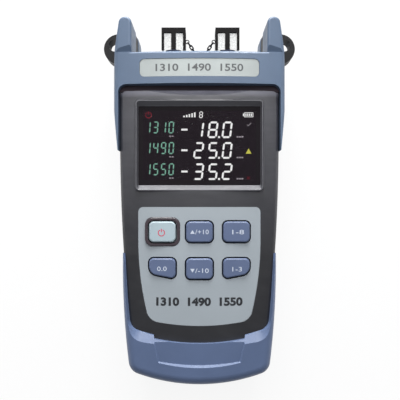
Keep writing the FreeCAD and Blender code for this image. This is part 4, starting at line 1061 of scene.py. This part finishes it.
    def light_status(self) -> None:
        """The power sign, the rising bars with their figure, and the battery."""
        red = bmesh.new()
        power_sign(red, self.at(*self.power_at), self.power_radius, self.power_stroke)
        self.lit(red, "display_power", self.finishes.red_glow)
        white = bmesh.new()
        x, y = self.signal_at
        for number in range(self.signal_count):
            tall = self.signal_first + self.signal_rise * number
            polygon_sign(white, self.at(x + self.signal_pitch * number, y + tall / 2),
                         rectangle(self.signal_width, tall))
        channel = self.at(*self.channel_at)
        self.tiny.write(white, "8", channel.x, channel.y, channel.z)
        self.light_cell(white)
        self.lit(white, "display_status", self.finishes.white_glow)

    def light_cell(self, shape: Shape) -> None:
        """Add the battery sign: four walls, a tip at the left and its charge.

        Args:
            shape: the bmesh to add to.
        """
        (left, low), (right, high) = self.cell_low, self.cell_high
        across, middle, wall = (left + right) / 2, (low + high) / 2, self.cell_wall
        for x, y, wide, tall in ((across, low, right - left, wall),
                                 (across, high, right - left, wall),
                                 (left, middle, wall, high - low),
                                 (right, middle, wall, high - low),
                                 (left - self.cell_tip_reach, middle, *self.cell_tip)):
            polygon_sign(shape, self.at(x, y), rectangle(wide, tall))
        for number in range(self.charge_count):
            polygon_sign(shape, self.at(self.charge_x + self.charge_pitch * number, middle),
                         rectangle(*self.charge_size))

    def light_marks(self) -> None:
        """The tick, the warning and fault marks and the dim unit bars."""
        dim = bmesh.new()
        polygon_sign(dim, self.at(*self.tick_at), millimetres(self.TICK))
        for top in self.rows:
            for unit in self.units:
                for x in unit.centres():
                    polygon_sign(dim, self.at(x, top - unit.drop), unit.corners())
        self.lit(dim, "display_units", self.finishes.dim_glow)
        yellow = bmesh.new()
        wide, tall = self.warning_half
        polygon_sign(yellow, self.at(*self.warning_at),
                     millimetres(((-wide, -tall), (wide, -tall), (0, tall))))
        self.lit(yellow, "display_warning", self.finishes.yellow_glow)
        fault = bmesh.new()
        for angle, depth in ((45, PRINT_DEPTH), (-45, 0.8 * PRINT_DEPTH)):
            spin = Matrix.Rotation(math.radians(angle), 2)
            polygon_sign(fault, self.at(*self.fault_at),
                         [spin @ Vector(point) for point in rectangle(*self.fault_size)], depth)
        self.lit(fault, "display_fault", self.finishes.faint_red_glow)


@dataclass(frozen=True)
class Legend:
    """What is printed on a key: figures and a triangle, or else the power sign.

    The width of the figures and the shift are in millimetres.
    """

    body: Body
    row: float
    figures: str = ""
    width: float = 0.0
    pointer: Pointer = Pointer.NONE
    shift: Point = (0.0, 0.0)


UPPER_ROW = -15.8 * MM
LOWER_ROW = -34.7 * MM
LEGENDS = {
    "power_key": Legend(Body.POWER_KEY, UPPER_ROW, shift=(-0.45, -0.5)),
    "up_key": Legend(Body.UP_KEY, UPPER_ROW, "/+10", 6.9, Pointer.UP),
    "set_key": Legend(Body.SET_KEY, UPPER_ROW, "1-8", 6.0, shift=(0.8, -0.1)),
    "left_key": Legend(Body.LEFT_KEY, LOWER_ROW, "0.0", 4.9, shift=(-0.2, 0.0)),
    "down_key": Legend(Body.DOWN_KEY, LOWER_ROW, "/-10", 6.9, Pointer.DOWN, (0.0, -0.9)),
    "right_key": Legend(Body.RIGHT_KEY, LOWER_ROW, "1-3", 4.9, shift=(0.3, -0.2)),
}


@dataclass
class Keypad:
    """The overlay, the power key's ring, the six keys and their signs.

    Half the width and half the height of the pointer are in millimetres.
    """

    finishes: Finishes
    figures_y: float = -51.7 * MM
    figures_height: float = 4.5 * MM
    figures_width: float = 44.4 * MM
    figures_weight: float = 0.045
    legend_height: float = 2.3 * MM
    legend_weight: float = 0.004
    legend_spacing: float = 1.05
    power_radius: float = 1.6 * MM
    power_stroke: float = 0.45 * MM
    pointer_half: Point = (1.15, 0.95)
    pointer_x: float = -3.55 * MM
    beside_pointer: float = 1.3 * MM

    def build(self) -> None:
        """Dress the keypad and print its signs."""
        dress(self.finishes.panel, "keypad_overlay")
        dress(self.finishes.ring, "power_key_ring")
        dress(self.finishes.mat, "key_mat")
        for node, legend in LEGENDS.items():
            dress(self.finishes.blue_key if legend.figures else self.finishes.pale_key, node)
            self.print_legend(node, legend)
        shape = crowned_figures(self.figures_height, self.figures_width, self.figures_weight,
                                self.figures_y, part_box("keypad_overlay")[1].z)
        settle(shape, "panel_figures", self.finishes.black_ink, Body.CASE)

    def print_legend(self, node: str, legend: Legend) -> None:
        """Print one key's sign, which moves with the key.

        Args:
            node: the key's node.
            legend: what is printed on it.
        """
        low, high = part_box(node)
        across, along = legend.shift
        centre = Vector(((low.x + high.x) / 2 + across * MM, legend.row + along * MM, high.z))
        shape = bmesh.new()
        if not legend.figures:
            power_sign(shape, centre, self.power_radius, self.power_stroke)
            settle(shape, f"{node}_sign", self.finishes.red_ink, legend.body)
            return
        beside = 0.0
        if legend.pointer is not Pointer.NONE:
            wide, tall = self.pointer_half[0], self.pointer_half[1] * legend.pointer.value
            corners = millimetres(((-wide, -tall), (wide, -tall), (0, tall)))
            if legend.pointer is Pointer.DOWN:
                corners.reverse()
            polygon_sign(shape, centre + Vector((self.pointer_x, 0, 0)), corners)
            beside = self.beside_pointer
        figures = text_shape(legend.figures, self.legend_height, legend.width * MM,
                             self.legend_weight, self.legend_spacing)
        stamp(shape, figures, centre + Vector((beside, 0, 0)))
        settle(shape, f"{node}_sign", self.finishes.white_ink, legend.body)


@dataclass
class Case:
    """The two shells, the door, the screws and what is sealed inside."""

    finishes: Finishes
    screw_inset: float = 2.7 * MM
    recess_half: float = 1.5 * MM
    recess_width: float = 0.55 * MM
    recess_proud: float = 0.02 * MM
    recess_depth: float = 0.1 * MM
    arrow_y: float = 9 * MM
    arrow_proud: float = 0.15 * MM
    arrow_depth: float = 0.2 * MM

    ARROW = ((-3.2, -1.6), (0, -3.6), (3.2, -1.6))

    def build(self) -> None:
        """Dress the case and its screws."""
        dress(self.finishes.grey, "front_shell")
        dress(self.finishes.black, "rear_shell", "battery_door")
        dress(self.finishes.screw, "case_screws")
        dress(self.finishes.board, "main_board")
        dress(self.finishes.jacket, "cell_1", "cell_2", "cell_3")
        dress(self.finishes.contact, "contact_plates", "contact_springs")
        self.paint_recess_shade()
        self.mark_door()

    def paint_recess_shade(self) -> None:
        """Dark crosses on the heads of the four screws: painted shade for their cross recesses.
        """
        low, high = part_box("case_screws")
        half, wide = self.recess_half, self.recess_width
        cross = [(-wide, -half), (wide, -half), (wide, -wide), (half, -wide), (half, wide),
                 (wide, wide), (wide, half), (-wide, half), (-wide, wide), (-half, wide),
                 (-half, -wide), (-wide, -wide)]
        shape = bmesh.new()
        for x in (low.x + self.screw_inset, high.x - self.screw_inset):
            for y in (low.y + self.screw_inset, high.y - self.screw_inset):
                polygon_sign(shape, Vector((x, y, low.z - self.recess_proud)), cross,
                             self.recess_depth)
        settle(shape, "screw_recess_shade", self.finishes.painted_shade, Body.CASE)

    def mark_door(self) -> None:
        """The raised arrow that shows which way the battery door lifts."""
        low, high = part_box("battery_door")
        centre = Vector(((low.x + high.x) / 2, low.y + self.arrow_y, low.z - self.arrow_proud))
        shape = bmesh.new()
        polygon_sign(shape, centre, millimetres(self.ARROW), self.arrow_depth)
        settle(shape, "door_arrow", self.finishes.black, Body.DOOR)


@dataclass
class Guards:
    """The blue head guard with its name strip and the painted shade in its groove, and the boot.
    """

    finishes: Finishes
    figures_height: float = 3.8 * MM
    figures_width: float = 44.5 * MM
    figures_weight: float = 0.018
    shade_half: float = 41.4 * MM
    shade_corner: float = 4.0 * MM
    shade_level: float = 39.8 * MM
    shade_gap: float = 0.12 * MM
    shade_depth: float = 0.8 * MM
    face_end: float = 56.9 * MM
    band_end: float = 59.6 * MM
    band_slack: float = 0.15 * MM
    corner_steps: int = 10

    def build(self) -> None:
        """Dress the guards, print the strip and lay a dark strip of painted shade in the groove.
        """
        dress(self.finishes.guard, "head_guard_front", "head_guard_rear")
        dress(self.finishes.boot, "boot")
        dress(self.finishes.strip, "name_strip")
        low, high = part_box("name_strip")
        shape = crowned_figures(self.figures_height, self.figures_width, self.figures_weight,
                                (low.y + high.y) / 2, high.z)
        settle(shape, "strip_figures", self.finishes.grey_ink, Body.CASE)
        self.paint_groove_shade()

    def bend(self, end: float, radius: float) -> list[Vector]:
        """A quarter circle round the shade strip's right corner, upwards.

        Args:
            end: where the corner's rounded outline ends along Y.
            radius: the circle's radius.

        Returns:
            Points on the level that the shade strip lies on.
        """
        centre = Vector((self.shade_half - self.shade_corner, end - self.shade_corner,
                         self.shade_level))
        turns = [math.radians(90 * step / self.corner_steps)
                 for step in range(self.corner_steps + 1)]
        return [centre + radius * Vector((math.cos(turn), math.sin(turn), 0)) for turn in turns]

    def paint_groove_shade(self) -> None:
        """A dark strip of painted shade in the groove between the head guard and the grey face.
        """
        outer = [point for point in
                 self.bend(self.band_end, self.shade_corner + self.band_slack - self.shade_gap)
                 if point.x < self.shade_half]
        inner = [point for point in self.bend(self.face_end, self.shade_corner + self.shade_gap)
                 if point.y > outer[0].y]
        right = inner[::-1] + outer
        left = [Vector((-point.x, point.y, point.z)) for point in reversed(right)]
        shape = bmesh.new()
        prism(shape, right + left, self.shade_depth)
        settle(shape, "groove_painted_shade", self.finishes.painted_shade, Body.CASE)


@dataclass
class Input:
    """One optical input with its nut, sleeve, detector, dust cap and chain."""

    finishes: Finishes
    side: str
    cap: Body
    ridges: int = 44
    ridge_height: float = 0.15 * MM
    groove_height: float = 0.02 * MM
    grip_wall: float = 0.55 * MM
    grip_overlap: float = 0.1 * MM
    grip_inset: float = 0.3 * MM
    cap_gap: float = 0.06 * MM
    plating: float = 0.09 * MM

    def build(self) -> None:
        """Dress the input, knurl its nut and hang its chain."""
        dress(self.finishes.plated, f"receptacle_{self.side}")
        dress(self.finishes.nut, f"nut_{self.side}")
        dress(self.finishes.ceramic, f"sleeve_{self.side}")
        dress(self.finishes.turned, f"detector_{self.side}")
        dress(self.finishes.cap, f"dust_cap_{self.side}")
        self.knurl_nut()
        self.hang_chain()

    def knurl_nut(self) -> None:
        """The ridged grip round the nut, up to just under the dust cap."""
        low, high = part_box(f"nut_{self.side}")
        start = low.y + self.grip_inset
        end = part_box(f"dust_cap_{self.side}")[0].y - self.cap_gap
        centre = (low + high) / 2
        centre.y = start
        nut_radius = (high.x - low.x) / 2
        count = self.ridges * 2
        shape = bmesh.new()
        inner, outer = [], []
        for number in range(count):
            turn = 2 * math.pi * number / count
            direction = Vector((math.cos(turn), 0, math.sin(turn)))
            lift = self.ridge_height if number % 2 else self.groove_height
            for ring, radius in ((inner, nut_radius - self.grip_overlap),
                                 (outer, nut_radius + self.grip_wall + lift)):
                ring.append(shape.verts.new(centre + direction * radius))
        pull(shape, band_faces(shape, inner, outer), (0, end - start, 0))
        settle(shape, f"nut_grip_{self.side}", self.finishes.nut, Body.CASE,
               12)

    def hang_chain(self) -> None:
        """The chain's links, copied from the chain's node and thickened by the plating."""
        node = f"chain_{self.side}"
        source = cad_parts[node]
        shape = bmesh.new()
        shape.from_mesh(source.data)
        shape.transform(source.matrix_world)
        bmesh.ops.remove_doubles(shape, verts=shape.verts, dist=MERGE_REACH)
        shape.normal_update()
        for vert in shape.verts:
            vert.co += vert.normal * self.plating
        links = settle(shape, f"links_{self.side}", self.finishes.chain, None,
                       60)
        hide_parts(node)
        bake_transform(links)


@dataclass(frozen=True)
class Lamp:
    """A square soft lamp that faces the meter, in metres and watts."""

    name: str
    place: tuple[float, float, float]
    size: float
    power: float

    AIM = Vector((0, 0, 0.03))

    def hang(self) -> None:
        """Add the lamp to the scene."""
        lamp = bpy.data.lights.new(self.name, "AREA")
        lamp.energy = self.power
        lamp.size = self.size
        holder = bpy.data.objects.new(self.name, lamp)
        holder.location = self.place
        away = Vector(self.place) - self.AIM
        holder.rotation_euler = away.to_track_quat("Z", "Y").to_euler()
        bpy.context.scene.collection.objects.link(holder)


@dataclass
class Studio:
    """The pale floor, the soft lamps and the camera straight above."""

    camera_height: float = 293 * MM
    lens: float = 43.9
    sensor: float = 36.0
    shift: Point = (0.0015, 0.0025)
    floor_half: float = 1.5
    floor_drop: float = 0.05 * MM
    floor_white: float = 0.88
    floor_dark: Colour = (0.90, 0.90, 0.90)
    floor_pale: Colour = (0.93, 0.93, 0.93)
    sky: float = 0.26
    sky_colour: Colour = (0.86, 0.88, 0.92)
    lamps: tuple[Lamp, ...] = (
        Lamp("low_lamp", (0.0, 0.75, 0.22), 0.40, 11.0),
        Lamp("high_lamp", (0.0, 0.33, 0.50), 0.45, 2.3),
        Lamp("left_lamp", (-0.62, 0.10, 0.28), 0.4, 0.7),
        Lamp("right_lamp", (0.62, 0.10, 0.28), 0.4, 0.8))

    def build(self) -> None:
        """Set up the floor, lamps, world and camera."""
        self.add_camera()
        self.add_floor()
        for lamp in self.lamps:
            lamp.hang()
        self.add_world()
        bpy.context.scene.view_settings.view_transform = "Standard"

    def add_world(self) -> None:
        """A dim, even sky that the camera sees as plain white."""
        world = bpy.data.worlds.new("studio")
        world.use_nodes = True
        tree = world.node_tree
        sky = tree.nodes["Background"]
        sky.inputs["Color"].default_value = (*self.sky_colour, 1)
        sky.inputs["Strength"].default_value = self.sky
        white = tree.nodes.new("ShaderNodeBackground")
        white.inputs["Color"].default_value = (1, 1, 1, 1)
        white.inputs["Strength"].default_value = 1.0
        seen = tree.nodes.new("ShaderNodeLightPath")
        blend = tree.nodes.new("ShaderNodeMixShader")
        tree.links.new(seen.outputs["Is Camera Ray"], blend.inputs["Fac"])
        tree.links.new(sky.outputs["Background"], blend.inputs[1])
        tree.links.new(white.outputs["Background"], blend.inputs[2])
        tree.links.new(blend.outputs["Shader"], tree.nodes["World Output"].inputs["Surface"])
        bpy.context.scene.world = world

    def add_camera(self) -> None:
        """The camera, looking straight down with the inputs at the top."""
        lens = bpy.data.cameras.new("camera")
        lens.lens = self.lens
        lens.sensor_width = self.sensor
        lens.shift_x, lens.shift_y = self.shift
        camera = bpy.data.objects.new("camera", lens)
        camera.location = (0, 0, self.camera_height)
        bpy.context.scene.collection.objects.link(camera)
        bpy.context.scene.camera = camera

    def add_floor(self) -> None:
        """A pale floor under the meter that shows white to the camera."""
        shape = bmesh.new()
        bmesh.ops.create_grid(shape, x_segments=1, y_segments=1, size=self.floor_half)
        bmesh.ops.translate(shape, vec=(0, 0, CAD_BOX[0].z - self.floor_drop),
                            verts=shape.verts)
        mesh = bpy.data.meshes.new("floor")
        shape.to_mesh(mesh)
        shape.free()
        mesh.materials.append(self.floor_material())
        floor = bpy.data.objects.new("floor", mesh)
        bpy.context.scene.collection.objects.link(floor)

    def floor_material(self) -> bpy.types.Material:
        """Build the floor's material.

        Returns:
            Pale, and mostly plain white where the camera or a mirror image sees it.
        """
        sheet = NodeSheet("floor_white")
        sheet.shader.inputs["Roughness"].default_value = 0.9
        sheet.feed("Base Color", sheet.tint(sheet.noise(6 * MM, 3), self.floor_dark,
                                            self.floor_pale))
        seen = sheet.add("ShaderNodeLightPath")
        any_ray = sheet.join("MAXIMUM", seen.outputs["Is Camera Ray"],
                             seen.outputs["Is Glossy Ray"])
        share = sheet.add("ShaderNodeMath", operation="MULTIPLY")
        share.inputs[1].default_value = self.floor_white
        sheet.wire(any_ray, share.inputs[0])
        white = sheet.add("ShaderNodeEmission")
        white.inputs["Strength"].default_value = 1.0
        blend = sheet.add("ShaderNodeMixShader")
        sheet.wire(share.outputs["Value"], blend.inputs["Fac"])
        sheet.wire(sheet.shader.outputs["BSDF"], blend.inputs[1])
        sheet.wire(white.outputs["Emission"], blend.inputs[2])
        sheet.wire(blend.outputs["Shader"], sheet.output.inputs["Surface"])
        return sheet.material


def main() -> None:
    """Build the meter's looks, sub-assembly by sub-assembly."""
    logging.basicConfig(level=logging.INFO, format="%(name)s: %(message)s")
    Studio().build()
    finishes = Finishes()
    Case(finishes).build()
    Guards(finishes).build()
    Display(finishes).build()
    Keypad(finishes).build()
    Input(finishes, "left", Body.LEFT_CAP).build()
    Input(finishes, "right", Body.RIGHT_CAP).build()
    dress(finishes.chain, "chain_staple")


if __name__ == "__main__":
    main()
